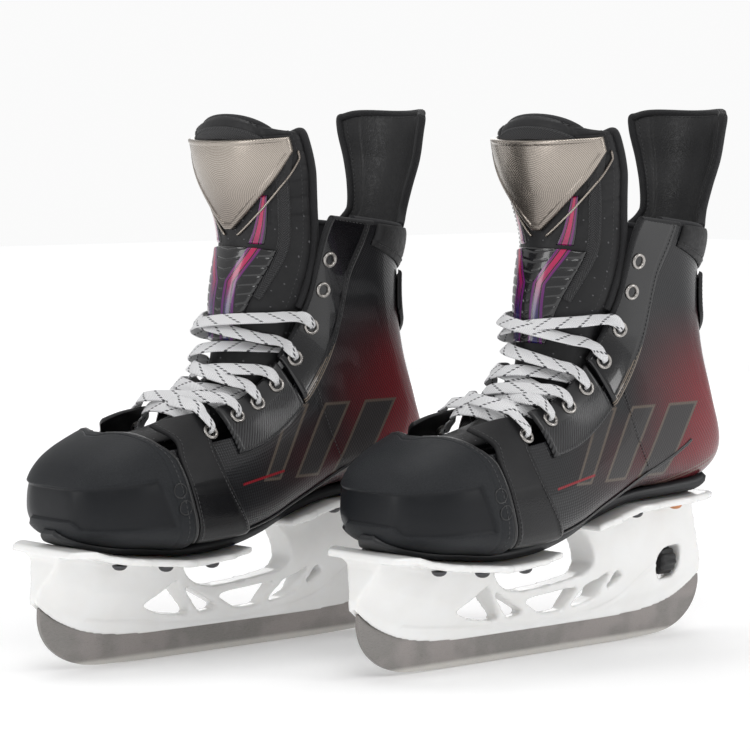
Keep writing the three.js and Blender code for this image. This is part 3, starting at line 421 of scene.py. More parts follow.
def prism(outline, half):
    """A side outline [x, z] carried across from -half to half."""
    ring = np.asarray(outline, float)
    n, k = len(ring), np.arange(len(ring))
    points = np.concatenate([np.column_stack([ring[:, 0], np.full(n, y), ring[:, 1]]) for y in (-half, half)])
    return solid_of(points, [*np.column_stack([k, (k + 1) % n, n + (k + 1) % n, n + k]).tolist(),
        list(range(n)), list(range(2 * n - 1, n - 1, -1))])


def round_corners(outline, radius, n=6):
    """Each corner of a closed outline replaced by n points on a quadratic curve that starts and ends radius
    away from it."""
    ring = np.asarray(outline, float)
    before, after = np.roll(ring, 1, 0) - ring, np.roll(ring, -1, 0) - ring
    size = lambda v: np.maximum(np.linalg.norm(v, axis=1, keepdims=True), 1e-9)
    reach = lambda v: v * np.minimum(0.45, radius / size(v))
    t = np.linspace(0, 1, n)[None, :, None]
    p0, p1, p2 = (ring + reach(before))[:, None], ring[:, None], (ring + reach(after))[:, None]
    return ((1 - t) ** 2 * p0 + 2 * t * (1 - t) * p1 + t**2 * p2).reshape(-1, 2)


under = boot(np.arange(1, 16), 0.0, 7.0)[:, [0, 2]]
top_of = lambda x: np.interp(x, under[:, 0], under[:, 1]) - 0.4
hold_low = np.array([[-145, 40], [-137, 33.5], [-127, 27.4], [-112, 21.6], [-95, 18.2], [-72, 16.3],
    [-40, 16], [45, 16], [75, 16.6], [92, 18], [108, 20.8], [120, 24.8], [131, 30.2], [140.5, 36.5]])
low_x = np.linspace(-145, 140.5, 60)
low_line = np.column_stack([low_x, np.interp(low_x, *catmull(hold_low, np.linspace(0, 13, 200)).T) - 0.1])
rear_top = np.linspace(121, 26, 12)
front_top = np.linspace(-12, -126, 14)
side_view = np.concatenate([
    low_line, round_corners([[142.3, 42], [139, 50], [132, 70], [125.5, top_of(120) - 4.2]], 6, 5)[3:-2],
    [[129, top_of(122) - 4], [129, top_of(122)]], np.column_stack([rear_top, top_of(rear_top)]),
    [[25, top_of(28) - 1.2], [25, top_of(28) - 5]],
    round_corners([[28, 74], [33.5, 68], [38.5, 60], [40.5, 50.5], [34, 44.9], [22, 43], [10, 41.6],
    [-6, 40.2], [-20, 39.7], [-31, 42], [-40.5, 47.5], [-46.5, 56], [-45, 61]], 5, 5)[3:-3],
    [[-44, top_of(-44) - 4], [-12, top_of(-12) - 4]], np.column_stack([front_top, top_of(front_top)]),
    [[-131, top_of(-127)], [-139.5, top_of(-127) - 0.6], [-140.4, top_of(-127) - 4]],
    round_corners([[-137.2, top_of(-127) - 5.6], [-139.5, 60], [-142.5, 53], [-145.3, 46.5], [-146, 43]], 5,
    4)[2:-3]])
widths = np.array([[-146, 6, 20], [-138, 13, 31], [-125, 16, 37], [-100, 17, 40], [-70, 15, 41],
    [-50, 12, 40], [-30, 7.5, 39], [-10, 7, 36], [10, 7, 33], [28, 8, 31], [45, 12, 32], [70, 13, 32.5],
    [100, 11.5, 32], [120, 10, 31], [134, 7.5, 22], [144, 5, 14]], float)
wide = catmull(widths, np.linspace(0, len(widths) - 1, 140))
# the flange bulges a little round each rivet
ear = 1.6 * np.maximum(0, np.sin((wide[:, 0] + 4) * 2 * np.pi / 33.0)) ** 2
wx, body_w, flange_w = wide[:, 0], wide[:, 1], wide[:, 2] - 1.2 + ear
w_top = top_of(np.clip(wx, -127, 122))
w_under = w_top - 4.4
w_low = np.interp(wx, hold_low[:, 0], hold_low[:, 1])
mixed = lambda a, b, t: a + (b - a) * t
half_ring = [(4.3 + 0 * wx, w_low - 4), (4.3 + 0 * wx, w_low + 5), (mixed(4.6, body_w, 0.3), w_low + 12),
    (mixed(5, body_w, 0.75), mixed(w_low + 12, w_under, 0.4)), (body_w, mixed(w_low + 12, w_under, 0.75)),
    (body_w + 1, w_under - 3), (body_w + 3.5, w_under - 0.3), (flange_w, w_under), (flange_w, w_top + 3)]
ring_y = np.column_stack([y for y, z in half_ring] + [-y for y, z in half_ring[::-1]])
ring_z = np.column_stack([z for y, z in half_ring] + [z for y, z in half_ring[::-1]])
env = np.stack([np.repeat(wx[:, None], 18, 1), ring_y, ring_z], -1)
i, j = np.meshgrid(np.arange(139), np.arange(18), indexing="ij")
env_faces = np.stack([i * 18 + j, i * 18 + (j + 1) % 18, (i + 1) * 18 + (j + 1) % 18, (i + 1) * 18 + j],
    -1).reshape(-1, 4).tolist()
holder = solid_of(env.reshape(-1, 3), env_faces + [list(range(18)),
    list(range(139 * 18 + 17, 139 * 18 - 1, -1))])
cutters = [("INTERSECT", prism(side_view, 48))]
cutters += [("DIFFERENCE", prism(round_corners(w, 2.2), 30)) for w in (
    [[-75, 33.2], [-50, 46.6], [-47, 43.6], [-35, 25.2], [-40, 24.4], [-60, 27.4]], [[-44, 43], [-38, 40.6],
    [-24.5, 33], [-11.5, 25.8], [-28, 24.6]],
    [[-14.5, 32.8], [-8, 34.8], [12, 36.4], [31.5, 37.8], [17.5, 24.8], [5, 24.4], [-2, 25.4]],
    [[36.6, 38.6], [45.6, 41.2], [57, 47], [45.4, 30], [34, 26.6], [23.5, 25.6]],
    [[60.4, 46], [66.5, 41], [50.5, 31.8]])]
cutters += [("DIFFERENCE", prism(round_corners([[97.3, 39.8], [100.7, 35.2], [114, 36], [118.7, 42.4],
    [118.7, 52.6], [115.7, 56], [101.4, 54.6], [96.3, 48.6]], 2), 30))]
cutters += [("DIFFERENCE", prism([[-150, 4], [150, 4], [150, 40], [142.5, 40], [142.5, 37.4], [139, 37.4],
    [129, 34.2], [119, 29.6], [108, 27.4], [107, 24.8], [99.3, 24.8], [99.3, 54], [85.7, 54], [85.7, 23.6],
    [60, 21.8], [-60, 21.8], [-94, 23.6], [-98, 24.6], [-98, 39.4], [-118.5, 39.4], [-118.5, 33],
    [-124, 32.6], [-134, 37], [-139, 41], [-150, 41]], 1.9))]
cutters += [("DIFFERENCE", prism([[88.5, 43.1], [131.5, 43.1], [131.5, 48.9], [88.5, 48.9]], 2.9))]
for kind, cutter in cutters:
    step = holder.modifiers.new("cut", "BOOLEAN")
    step.operation, step.object, step.solver = kind, cutter, "EXACT"
skin = holder.modifiers.new("skin", "REMESH")
skin.mode, skin.voxel_size = "VOXEL", 1.25
even = holder.modifiers.new("even", "SMOOTH")
even.factor, even.iterations = 0.5, 5
moulded = bpy.data.meshes.new_from_object(holder.evaluated_get(bpy.context.evaluated_depsgraph_get()))
shape = np.zeros((len(moulded.vertices), 3))
moulded.vertices.foreach_get("co", shape.ravel())
quads = np.array([list(p.vertices) if len(p.vertices) == 4 else [*p.vertices, p.vertices[-1]]
    for p in moulded.polygons])
# the chord groove: a shallow line along each side that sweeps from the chord up into the rear tower
groove_line = catmull([[-125, 31], [-100.8, 26.3], [-86.6, 24.8], [-40, 20.3], [-8, 19], [33, 20.3],
    [60.6, 26.3], [81.9, 38.9], [95, 46]], np.linspace(0, 8, 300))
side_share = np.clip((np.abs(shape[:, 1]) - 2.6) / 1.5, 0, 1)
gap_to = np.abs(shape[:, 2] - np.interp(shape[:, 0], groove_line[:, 0], groove_line[:, 1]))
sunk_by = side_share * 0.75 * np.exp(-((gap_to / 1.0) ** 2)) * (np.abs(shape[:, 0]) < 112)
shape[:, 1] -= np.sign(shape[:, 1]) * sunk_by
for o in [holder] + [c for _, c in cutters]:
    bpy.data.objects.remove(o)
nylon = Finish("white_nylon", Base_Color=(0.86, 0.85, 0.82), Roughness=0.22, Specular_IOR_Level=0.5,
    Coat_Weight=0.35, Coat_Roughness=0.08, Subsurface_Weight=0.12, Subsurface_Radius=[0.004, 0.0035, 0.003],
    Subsurface_Scale=1.0)
nv = nylon.place()[0]
soft_spots = nylon.noise(nv, 0.04, 3)
nylon.set("Base Color", nylon.mix(nylon.step(soft_spots, 0.35, 0.7), (0.93, 0.93, 0.92), (0.90, 0.895, 0.88)))
nylon.set("Roughness", nylon.step(nylon.noise(nv, 0.06, 3), 0.3, 0.7, 0.17, 0.24))
nylon.bump(nylon.noise(nv, 0.25, 2), 0.00004, 0.3)
make("moulded_holder", shape, quads, shape[:, [0, 2]], nylon, stands=("holder",), weld=True)


def turned(profile, sides, ribs=0.0, count=1):
    """A profile [radius, height] turned about an axis: radius times one plus ribs times a wave that repeats
    count times round. Returns points [height, across, up] before they are placed, and faces; the first and
    last rings are shrunk to their middles."""
    profile = np.asarray(profile, float)
    a = np.arange(sides) * 2 * np.pi / sides
    wave = np.sin(count * a)
    r = profile[:, :1] * (1 + ribs * np.sign(wave) * np.minimum(1, 1.6 * np.abs(wave)))
    points = np.stack([np.repeat(profile[:, 1:], sides, 1), r * np.cos(a), r * np.sin(a)], -1)
    return points.reshape(-1, 3), grid_faces(len(profile), sides, wrap=True)


# ==== Blade locks and rivets ====
# A black ribbed thumb wheel turns on a steel bolt in the rear tower; dark domed rivets hold each flange to
# the sole, two of them copper at the very back. The wheel and the bolt move on their own.
black_nylon = Finish("black_nylon", Base_Color=(0.012, 0.012, 0.013), Roughness=0.42)
black_nylon.bump(black_nylon.noise(black_nylon.place()[0], 1.4, 3), 0.00008, 0.6)
wheel, wheel_faces = turned([[0, -6.5], [6, -6.5], [7.2, -6.3], [8.2, -5.4], [8.5, -4.6], [8.5, 4.6],
    [8.2, 5.4], [7.2, 6.3], [6, 6.5], [0, 6.5]], 96, 0.05, 12)
wheel = wheel + (109, 0, 46)
make("thumb_wheel", wheel, wheel_faces, wheel[:, [1, 2]], black_nylon, body="wheel", stands=("lock_wheel",),
    weld=True)
bolt_steel = Finish("bolt_steel", Metallic=1.0, Roughness=0.32, Base_Color=(0.5, 0.49, 0.47))
bolt_steel.bump(bolt_steel.math("SINE", bolt_steel.math("MULTIPLY", bolt_steel.place()[1], 7.0)), 0.0001, 0.5)
bolt, bolt_faces = turned([[0, 97.8], [1.7, 97.8], [2.35, 99], [2.35, 123.2], [2.1, 123.5], [0, 123.5]], 28)
bolt = bolt + (0, 0, 46)
make("lock_screw", bolt, bolt_faces, bolt[:, [0, 1]], bolt_steel, body="bolt", stands=("lock_bolt",),
    weld=True)
rivet_steel = Finish("dark_rivet", Metallic=1.0, Roughness=0.36, Base_Color=(0.10, 0.10, 0.105))
rivet_steel.bump(rivet_steel.noise(rivet_steel.place()[0], 0.9, 3), 0.00008, 0.5)
copper = Finish("copper_rivet", Metallic=1.0, Roughness=0.3, Base_Color=(0.62, 0.28, 0.14))
copper.bump(copper.noise(copper.place()[0], 0.9, 3), 0.00008, 0.5)
rivet_places = [(-72, 29, "rivet_front"), (62, 23, "rivet_rear"), (-104, 27, None), (-38, 29, None),
    (98, 22, None)]
for rx, ry, node in rivet_places:
    head, head_faces = turned([[0, -2.6], [1.6, -2.45], [3.0, -1.9], [4.0, -0.9], [4.4, 0.0], [4.4, 0.5],
        [0, 0.5]], 24)
    z = min(top_of(rx - 5), top_of(rx + 5)) - 4.9
    head = np.column_stack([rx + head[:, 1], -ry + head[:, 2], z + head[:, 0]])
    make("rivet_%s" % (("front_" if rx < 0 else "rear_") + str(abs(int(rx)))), head, head_faces,
        head[:, [0, 1]], copper if rx == 98 else rivet_steel, stands=(node,) if node else (), twin=True,
        weld=True)

# ==== Outsole ====
# A satin black moulded plate bonded under the boot; it stiffens the shell and takes the rivets of both
# flanges.
sole_black = Finish("sole_black", Base_Color=(0.014, 0.015, 0.017), Roughness=0.38)
sole_black.bump(sole_black.noise(sole_black.place()[0], 1.2, 3), 0.0001, 0.6)
us = np.concatenate([[1.6], np.linspace(1.7, 14, 150)])
spread = np.interp(us, [1.6, 2, 3, 4, 5, 8, 11, 14], [0.3, 0.42, 0.6, 0.66, 0.68, 0.68, 0.6, 0.5])
ms = np.linspace(-2, 2, 41)[None, :] * spread[:, None]
U = np.repeat(us[:, None], 41, 1)
edge = rolled(2 - np.abs(np.linspace(-2, 2, 41)), 0.12)[None, :] * rolled(np.minimum(us - 1.6, 14 - us),
    0.25)[:, None]
outer, inner = boot(U, ms, 4.2 + 2.8 * edge), boot(U, ms, np.interp(U, [7, 8], [3.8, 0.4]))
sheet("outsole_plate", outer, inner, cloth_map(U, ms), sole_black, stands=("outsole",))

# ==== Quarter shell ====
# One stiff composite shell from the ball of the foot round the heel and up to the ankle: a fine carbon-look
# weave under clear coat, with a crimson fade over the heel, taupe stripes, and a piped line round its foot.
# It is pressed in one piece and lasted over the liner.
shell = Finish("woven_shell", Roughness=0.33, Specular_IOR_Level=0.28, Coat_Weight=0.4, Coat_Roughness=0.06)
pv, px, _, pz = shell.place()
ua, ub = shell.along()
warp = shell.math("SINE", shell.math("MULTIPLY", shell.math("ADD", ua, ub), 2 * math.pi / 3.6))
weft = shell.math("SINE", shell.math("MULTIPLY", shell.math("SUBTRACT", ua, ub), 2 * math.pi / 3.4))
weave = shell.math("MULTIPLY", warp, weft)
dots = shell.step(weave, 0.05, 0.55)
heel = shell.math("MULTIPLY", shell.step(px, 35, 118), shell.step(pz, 212, 150))
foot_glow = shell.math("MULTIPLY", shell.math("MULTIPLY", shell.step(px, -20, 80), shell.step(pz, 150, 104)),
    0.35)
low_dark = shell.step(pz, 96, 118, 0.35, 1.0)
red = shell.math("MULTIPLY", shell.math("MAXIMUM", heel, foot_glow), low_dark, clamp=True)
cloudy = shell.step(shell.noise(pv, 0.02, 2), 0.3, 0.7, 0.72, 1.0)
red = shell.math("MULTIPLY", red, cloudy, clamp=True)
black = shell.mix(dots, (0.004, 0.004, 0.005), (0.026, 0.027, 0.030))
crimson = shell.mix(dots, (0.17, 0.002, 0.008), (0.36, 0.008, 0.020))
ground = shell.mix(red, black, crimson)
# three slanted taupe bars, each a band of one skewed distance, between two heights
skew = shell.math("ADD", px, shell.math("MULTIPLY", pz, -0.62))
def band(value, low, high, soft=0.5):
    return shell.math("MULTIPLY", shell.step(value, low - soft, low + soft),
        shell.step(value, high + soft, high - soft))
zone = band(pz, 106, 146)
bars = shell.math("MAXIMUM", shell.math("MAXIMUM", band(skew, -72, -62), band(skew, -46, -30)),
    band(skew, -14, 8))
edges = shell.math("MAXIMUM", shell.math("MAXIMUM", band(skew, -74, -60), band(skew, -48, -28)),
    band(skew, -16, 10))
rim_zone = band(pz, 104.4, 147.6)
bar_fill = shell.math("MULTIPLY", bars, zone)
bar_rim = shell.math("MULTIPLY", edges, rim_zone)
ground = shell.mix(bar_rim, ground, (0.10, 0.078, 0.062))
ground = shell.mix(bar_fill, ground, shell.mix(dots, (0.020, 0.018, 0.019), (0.046, 0.042, 0.042)))
# a thin red dash forward of the bars and a pair of taupe lines low round the heel
dash = shell.math("MULTIPLY", band(shell.math("ADD", pz, shell.math("MULTIPLY", px, -0.16)), 107.4, 108.8,
    0.25), band(px, -26, 8, 0.6))
ground = shell.mix(dash, ground, (0.24, 0.010, 0.018))
heel_line = shell.math("ADD", pz, shell.math("MULTIPLY", px, -0.28))
piping = shell.math("MAXIMUM", band(heel_line, 73.6, 74.6, 0.25), band(heel_line, 76.6, 77.4, 0.25))
ground = shell.mix(shell.math("MULTIPLY", piping, shell.step(px, 48, 62)), ground, (0.14, 0.11, 0.085))
shell.set("Base Color", ground).set("Roughness", shell.step(weave, -0.6, 0.8, 0.40, 0.27))
shell.bump(weave, 0.00016, 0.5)
us, ms = np.linspace(5, RIM, 180), np.linspace(-6, 6, 140)
U, M = np.meshgrid(us, ms, indexing="ij")
# the heel counter stands a little proud
counter = 0.55 * rolled(np.clip(U - 12.1 - 0.06 * (np.abs(M) - 3) ** 2, 0, 9), 0.25)
outer, inner = boot(U, M, -0.55 + counter), boot(U, M, -2.2)
sheet("quarter_shell", outer, inner, cloth_map(U, M), shell, stands=("boot_shell",))


def tube(path, normal, wide, high, sides=10, square=1.0):
    """A cord or piping along a path (k, 3) with surface normals: an ellipse wide across and high along the
    normal, squared off by a power, carried along on the frame of tangent and normal, closed at both ends.
    Returns points, faces and map."""
    path, normal = np.asarray(path, float), np.asarray(normal, float)
    tangent = np.gradient(path, axis=0)
    tangent /= np.maximum(np.linalg.norm(tangent, axis=1, keepdims=True), 1e-9)
    up = normal - (normal * tangent).sum(1, keepdims=True) * tangent
    up /= np.maximum(np.linalg.norm(up, axis=1, keepdims=True), 1e-9)
    across = np.cross(tangent, up)
    a = np.arange(sides) * 2 * np.pi / sides + np.pi / sides
    squared = lambda v: np.sign(v) * np.abs(v) ** square
    ca, sa = squared(np.cos(a)), squared(np.sin(a))
    wide, high = np.broadcast_to(wide, (len(path),)), np.broadcast_to(high, (len(path),))
    ring = (path[:, None] + across[:, None] * (wide[:, None] * ca)[..., None] / 2
        + up[:, None] * (high[:, None] * sa)[..., None] / 2)
    n, k = len(path), np.arange(sides)
    ends = ring[[0, -1]].mean(1)
    points = np.concatenate([ring.reshape(-1, 3), ends])
    caps = np.concatenate([np.column_stack([np.full(sides, n * sides), k, (k + 1) % sides, (k + 1) % sides]),
        np.column_stack([np.full(sides, n * sides + 1), (k + 1) % sides + (n - 1) * sides,
        k + (n - 1) * sides, k + (n - 1) * sides])])
    distance = np.concatenate([[0], np.cumsum(np.linalg.norm(np.diff(path, axis=0), axis=1))])
    uv = np.stack([np.repeat(distance[:, None], sides, 1), np.repeat((ca * 0.5)[None] * wide[:, None], 1, 1)],
        -1).reshape(-1, 2)
    return points, np.concatenate([grid_faces(n, sides, wrap=True), caps]), np.concatenate([uv, uv[[0, -1]]])


def joined(parts):
    """Several (points, faces, map) as one."""
    starts = np.cumsum([0] + [len(p[0]) for p in parts[:-1]])
    faces = np.concatenate([p[1] + start for p, start in zip(parts, starts)])
    return np.concatenate([p[0] for p in parts]), faces, np.concatenate([p[2] for p in parts])


def stitches(path, normal, pitch=2.6, length=1.9, thick=0.55, lift=0.12):
    """A row of stitches: small rounded grains of thread laid end to end along a path, one every pitch mm,
    each three rings of four."""
    path, normal = np.asarray(path, float), np.asarray(normal, float)
    d = np.concatenate([[0], np.cumsum(np.linalg.norm(np.diff(path, axis=0), axis=1))])
    n = max(1, int(d[-1] / pitch))
    at = (np.arange(n) + 0.5) * d[-1] / n
    look = lambda t, v: np.stack([np.interp(t, d, v[:, a]) for a in range(3)], -1)
    centre, up = look(at, path), look(at, normal)
    tangent = look(at + 0.4, path) - look(at - 0.4, path)
    tangent /= np.maximum(np.linalg.norm(tangent, axis=1, keepdims=True), 1e-9)
    up -= (up * tangent).sum(1, keepdims=True) * tangent
    up /= np.maximum(np.linalg.norm(up, axis=1, keepdims=True), 1e-9)
    across = np.cross(tangent, up)
    along, radius = np.array([-1, 0, 1]) * length / 2, np.array([0.35, 1, 0.35]) * thick / 2
    a = np.arange(4) * np.pi / 2 + np.pi / 4
    centre, tangent, across, up = (v[:, None, None] for v in (centre, tangent, across, up))
    around = across * np.cos(a)[None, None, :, None] + up * np.sin(a)[None, None, :, None]
    grain = centre + tangent * along[None, :, None, None] + around * radius[None, :, None, None] + up * lift
    face = np.concatenate([grid_faces(3, 4, wrap=True), [[0, 1, 2, 3], [11, 10, 9, 8]]])
    faces = (np.arange(n)[:, None, None] * 12 + face[None]).reshape(-1, 4)
    return grain.reshape(-1, 3), faces, np.repeat(np.column_stack([at, at * 0]), 12, 0)


def on(u, m, off):
    """A path on the boot and its normals, for piping and stitches."""
    return boot(u, m, off), boot(u, m, np.asarray(off) + 1) - boot(u, m, off)


thread = Finish("black_thread", Base_Color=(0.045, 0.045, 0.047), Roughness=0.6, Sheen_Weight=0.08)
thread.bump(thread.math("SINE", thread.math("MULTIPLY", thread.along()[0], 9.0)), 0.0001, 0.6)
piping_black = Finish("black_piping", Base_Color=(0.012, 0.012, 0.013), Roughness=0.30, Coat_Weight=0.3)
piping_black.bump(piping_black.noise(piping_black.place()[0], 1.0, 2), 0.0001, 0.5)
t = np.linspace(0, 1, 160)
make("shell_piping", *tube(*on(5.6 + 8.2 * t, np.full(160, -2.2), 0.1), 2.2, 1.6, 8), piping_black, twin=True,
    weld=True)
# the heel counter's stitched edge, and the seam up the back
cu = np.linspace(-2.4, -5.4, 120)
seam_u = 12.0 + 0.06 * (np.abs(cu) - 3) ** 2
make("counter_stitching", *stitches(*on(seam_u + 0.16, cu, 0.15), 2.4, 1.7), thread, twin=True, weld=True)
back = tube(*on(np.linspace(14.6, 17.4, 80), np.zeros(80), 0.2), 3.2, 1.5, 10)
make("back_seam", *back, piping_black, weld=True)

# ==== Toe cap ====
# A hard moulded cap in dark slate with a fine grain, bonded and stitched over the toes. A smoother window
# is sunk round its front, with a slanted rear end, and two shallow rings mark its side; a welt with two
# seams closes its rear edge.
slate = Finish("slate_cap", Base_Color=(0.036, 0.039, 0.042), Roughness=0.45, Specular_IOR_Level=0.22)
cv, cx, cy, cz = slate.place()
fine_grain = slate.noise(cv, 2.2, 3, 0.65)
top_line = slate.step(slate.math("SUBTRACT", cz, slate.math("MULTIPLY", cx, 0.085)), 119.3, 118.0)
foot_line = slate.math("ADD", cz, slate.step(slate.math("ABSOLUTE", cy), 26, 18, 0, -5))
window = slate.math("MULTIPLY", slate.math("MULTIPLY", slate.step(foot_line, 83.2, 84.2), top_line),
    slate.step(slate.math("ADD", cx, slate.math("MULTIPLY", cz, 0.42)), -42.4, -44.0))
grained = slate.mix(slate.step(fine_grain, 0.35, 0.7), (0.011, 0.012, 0.014), (0.024, 0.026, 0.029))
slate.set("Base Color", slate.mix(window, grained, (0.010, 0.011, 0.013)))
slate.set("Roughness", slate.mix(window, (0.47, 0.47, 0.47), (0.36, 0.36, 0.36)))
slate.bump(slate.math("MULTIPLY", fine_grain, slate.math("SUBTRACT", 1.15, window)), 0.00025, 0.6)
ts, ms = np.linspace(0, 1, 140), np.linspace(-8, 8, 257)[:-1]
edge_u = 5.2 + 1.8 * np.minimum(1, (8 - np.abs(ms)) / 2.4)
edge_u = np.convolve(np.concatenate([edge_u[-6:], edge_u, edge_u[:6]]), np.ones(13) / 13, "valid")
U = 0.02 + (edge_u[None, :] - 0.02) * ts[:, None]
M = np.repeat(ms[None, :], 140, 0)
base = boot(U, M, 3.4)
soft = lambda v, a, b: (lambda k: k * k * (3 - 2 * k))(np.clip((v - a) / (b - a), 0, 1))
sunk = (soft(base[..., 2] - 5 * soft(np.abs(base[..., 1]), 26, 18), 82.9, 84.3)
    * soft(base[..., 2] - 0.085 * base[..., 0], 119.5, 117.9)
    * soft(base[..., 0] + 0.42 * base[..., 2], -42.0, -44.2))
ring_marks = sum(np.exp(-((np.hypot(base[..., 0] + rx, base[..., 2] - rz) - 4.1) / 0.55) ** 2)
    * (np.abs(base[..., 1]) > 25) for rx, rz in ((76.6, 104.6), (73.0, 94.8)))
lip = rolled(edge_u[None, :] - U, 0.16)
outer = boot(U, M, 1.5 + 2.1 * lip - 1.8 * sunk - 0.5 * ring_marks
    - 0.35 * np.exp(-((edge_u[None, :] - U - 0.55) / 0.05) ** 2))
inner = boot(U, M, 0.7)
mark = []
for mx, mz in ((-76.6, 104.6), (-73.0, 94.8)):
    turn_a = np.arange(49) * np.pi / 24
    flat = base[:, :128].reshape(-1, 3)
    ahead = outer[:, :128].reshape(-1, 3)
    near_to = np.argmin((flat[None, :, 0] - (mx + 4.1 * np.cos(turn_a))[:, None]) ** 2
        + (flat[None, :, 2] - (mz + 4.1 * np.sin(turn_a))[:, None]) ** 2 + (flat[None, :, 1] > -20) * 1e4,
        axis=1)
    ring_path = np.column_stack([mx + 4.1 * np.cos(turn_a), ahead[near_to, 1], mz + 4.1 * np.sin(turn_a)])
    looped = np.concatenate([ring_path[-4:-1, 1], ring_path[:, 1], ring_path[1:4, 1]])
    ring_path[:, 1] = np.convolve(looped, np.ones(7) / 7, "valid") - 0.15
    mark.append(tube(ring_path, np.tile([[0.2, -1, 0]], (49, 1)), 0.8, 0.9, 8))
outer[0], inner[0] = outer[0].mean(0), inner[0].mean(0)  # closed to a point at the nose
sheet("toe_cap_moulding", outer, inner, cloth_map(U, M), slate, wrap=True, stands=("toe_cap",), weld=True)
km = np.linspace(-7.97, -2.3, 150)
ku = np.interp(km, ms, edge_u)
make("cap_rings", *joined(mark), piping_black, twin=True)
cap_thread = joined([stitches(*on(ku - 0.28, km, 3.45), 3.0, 2.2, 0.7),
    stitches(*on(ku + 0.2, km, 0.5), 3.0, 2.2, 0.6)])
make("cap_stitching", *cap_thread, thread, twin=True, weld=True)
welt = tube(*on(ku + 0.02, km, 2.0), 2.6, 2.4, 10)
make("cap_welt", *welt, piping_black, twin=True, weld=True)

# ==== Side panels: saddles, eyestays and facings ====
# On each side three layers are sewn along the opening: a matte saddle tab with the first eyelet that runs
# down to the sole, a ribbed eyestay with the next three, and a glossy moulded facing with the top four. A
# bronze line edges the facing. Each is pressed, with a turned edge, and stitched on with one or two rows.
def panel(name, U, M, fall, thick, finish, stands, extra=0.0):
    """A panel on the boot between the grid of stations U and lines M: thick at its middle and rolled down to
    its edge over the distance fall, given as a height share at each point."""
    outer, inner = boot(U, M, 0.5 + (thick - 0.1) * fall + extra), boot(U, M, 0.4)
    return sheet(name, outer, inner, cloth_map(U, M), finish, stands=stands, twin=True)


saddle_black = Finish("saddle_black", Base_Color=(0.014, 0.014, 0.015), Roughness=0.5,
    Specular_IOR_Level=0.35)
gv, _, _, gz = saddle_black.place()
leather_grain = saddle_black.node("ShaderNodeTexVoronoi", {"Vector": gv, "Scale": 1.1})
saddle_black.set("Base Color", saddle_black.mix(saddle_black.noise(gv, 0.12, 3), (0.006, 0.006, 0.007),
    (0.013, 0.013, 0.014)))
saddle_black.set("Roughness", saddle_black.step(gz, 118, 96, 0.52, 0.24)).bump(leather_grain, 0.0002, 0.35)
ms = np.linspace(-8, -2.12, 110)
back_edge = 9.12 - 0.62 * np.sin(np.pi * np.minimum(1, (8 + ms) / 5.6))
front_edge = 7.12 + 0.30 * np.exp(-((ms + 6.3) / 0.8) ** 2)
ts = np.linspace(0, 1, 44)
U = front_edge[None, :] + (back_edge - front_edge)[None, :] * ts[:, None]
M = np.repeat(ms[None, :], 44, 0)
fall = rolled(np.minimum(ts, 1 - ts)[:, None] * 30, 1.6) * rolled((ms + 8)[None, :] * 9,
    1.5) * rolled((-2.12 - ms)[None, :] * 12, 2)
inset = soft(-M, 4.4, 4.2) * soft(ts[:, None] * (1 - ts[:, None]), 0.075, 0.095) * soft(-M, 2.35, 2.6)
panel("saddle_tab", U, M, fall, 2.2, saddle_black, ("saddle",), extra=-0.5 * inset)
sm = np.linspace(-7.75, -2.4, 120)
sb, sf = np.interp(sm, ms, back_edge), np.interp(sm, ms, front_edge)
make("saddle_stitching", *joined([stitches(*on(sb - 0.14, sm, 2.6), 2.7, 2.0, 0.6),
    stitches(*on(sf + 0.14, sm, 2.6), 2.7, 2.0, 0.6)]), thread, twin=True, weld=True)

ribbed = Finish("ribbed_eyestay", Base_Color=(0.014, 0.014, 0.016), Roughness=0.36, Coat_Weight=0.3,
    Coat_Roughness=0.15)
ra, rb = ribbed.along()
ribs = ribbed.math("SINE", ribbed.math("MULTIPLY", ribbed.math("ADD", ra, ribbed.math("MULTIPLY", rb, 0.7)),
    2 * math.pi / 2.2))
low_part = ribbed.step(rb, 13.5, 15.5)
ribs = ribbed.math("MULTIPLY", ribs, low_part)
ribbed.set("Base Color", ribbed.mix(ribbed.math("MULTIPLY", ribbed.step(ribs, -0.2, 0.9), 0.9),
    (0.010, 0.010, 0.011), (0.036, 0.037, 0.040))).bump(ribs, 0.0003, 0.7)
us, ms = np.linspace(9.24, 11.75, 60), np.linspace(-8, -5.1, 44)
U, M = np.meshgrid(us, ms, indexing="ij")
fall = rolled(np.minimum(U - 9.24, 11.75 - U), 0.1) * rolled(np.minimum((M + 8) * 9, (-5.1 - M) * 11), 1.6)
panel("eyestay_panel", U, M, fall, 2.2, ribbed, ("eyestay",))
eu = np.linspace(9.4, 11.65, 90)
make("eyestay_stitching", *joined([stitches(*on(eu, np.full(90, -5.28), 2.6), 2.6, 1.9, 0.6),
    stitches(*on(eu, np.full(90, -7.82), 2.6), 2.6, 1.9, 0.55)]), thread, twin=True, weld=True)

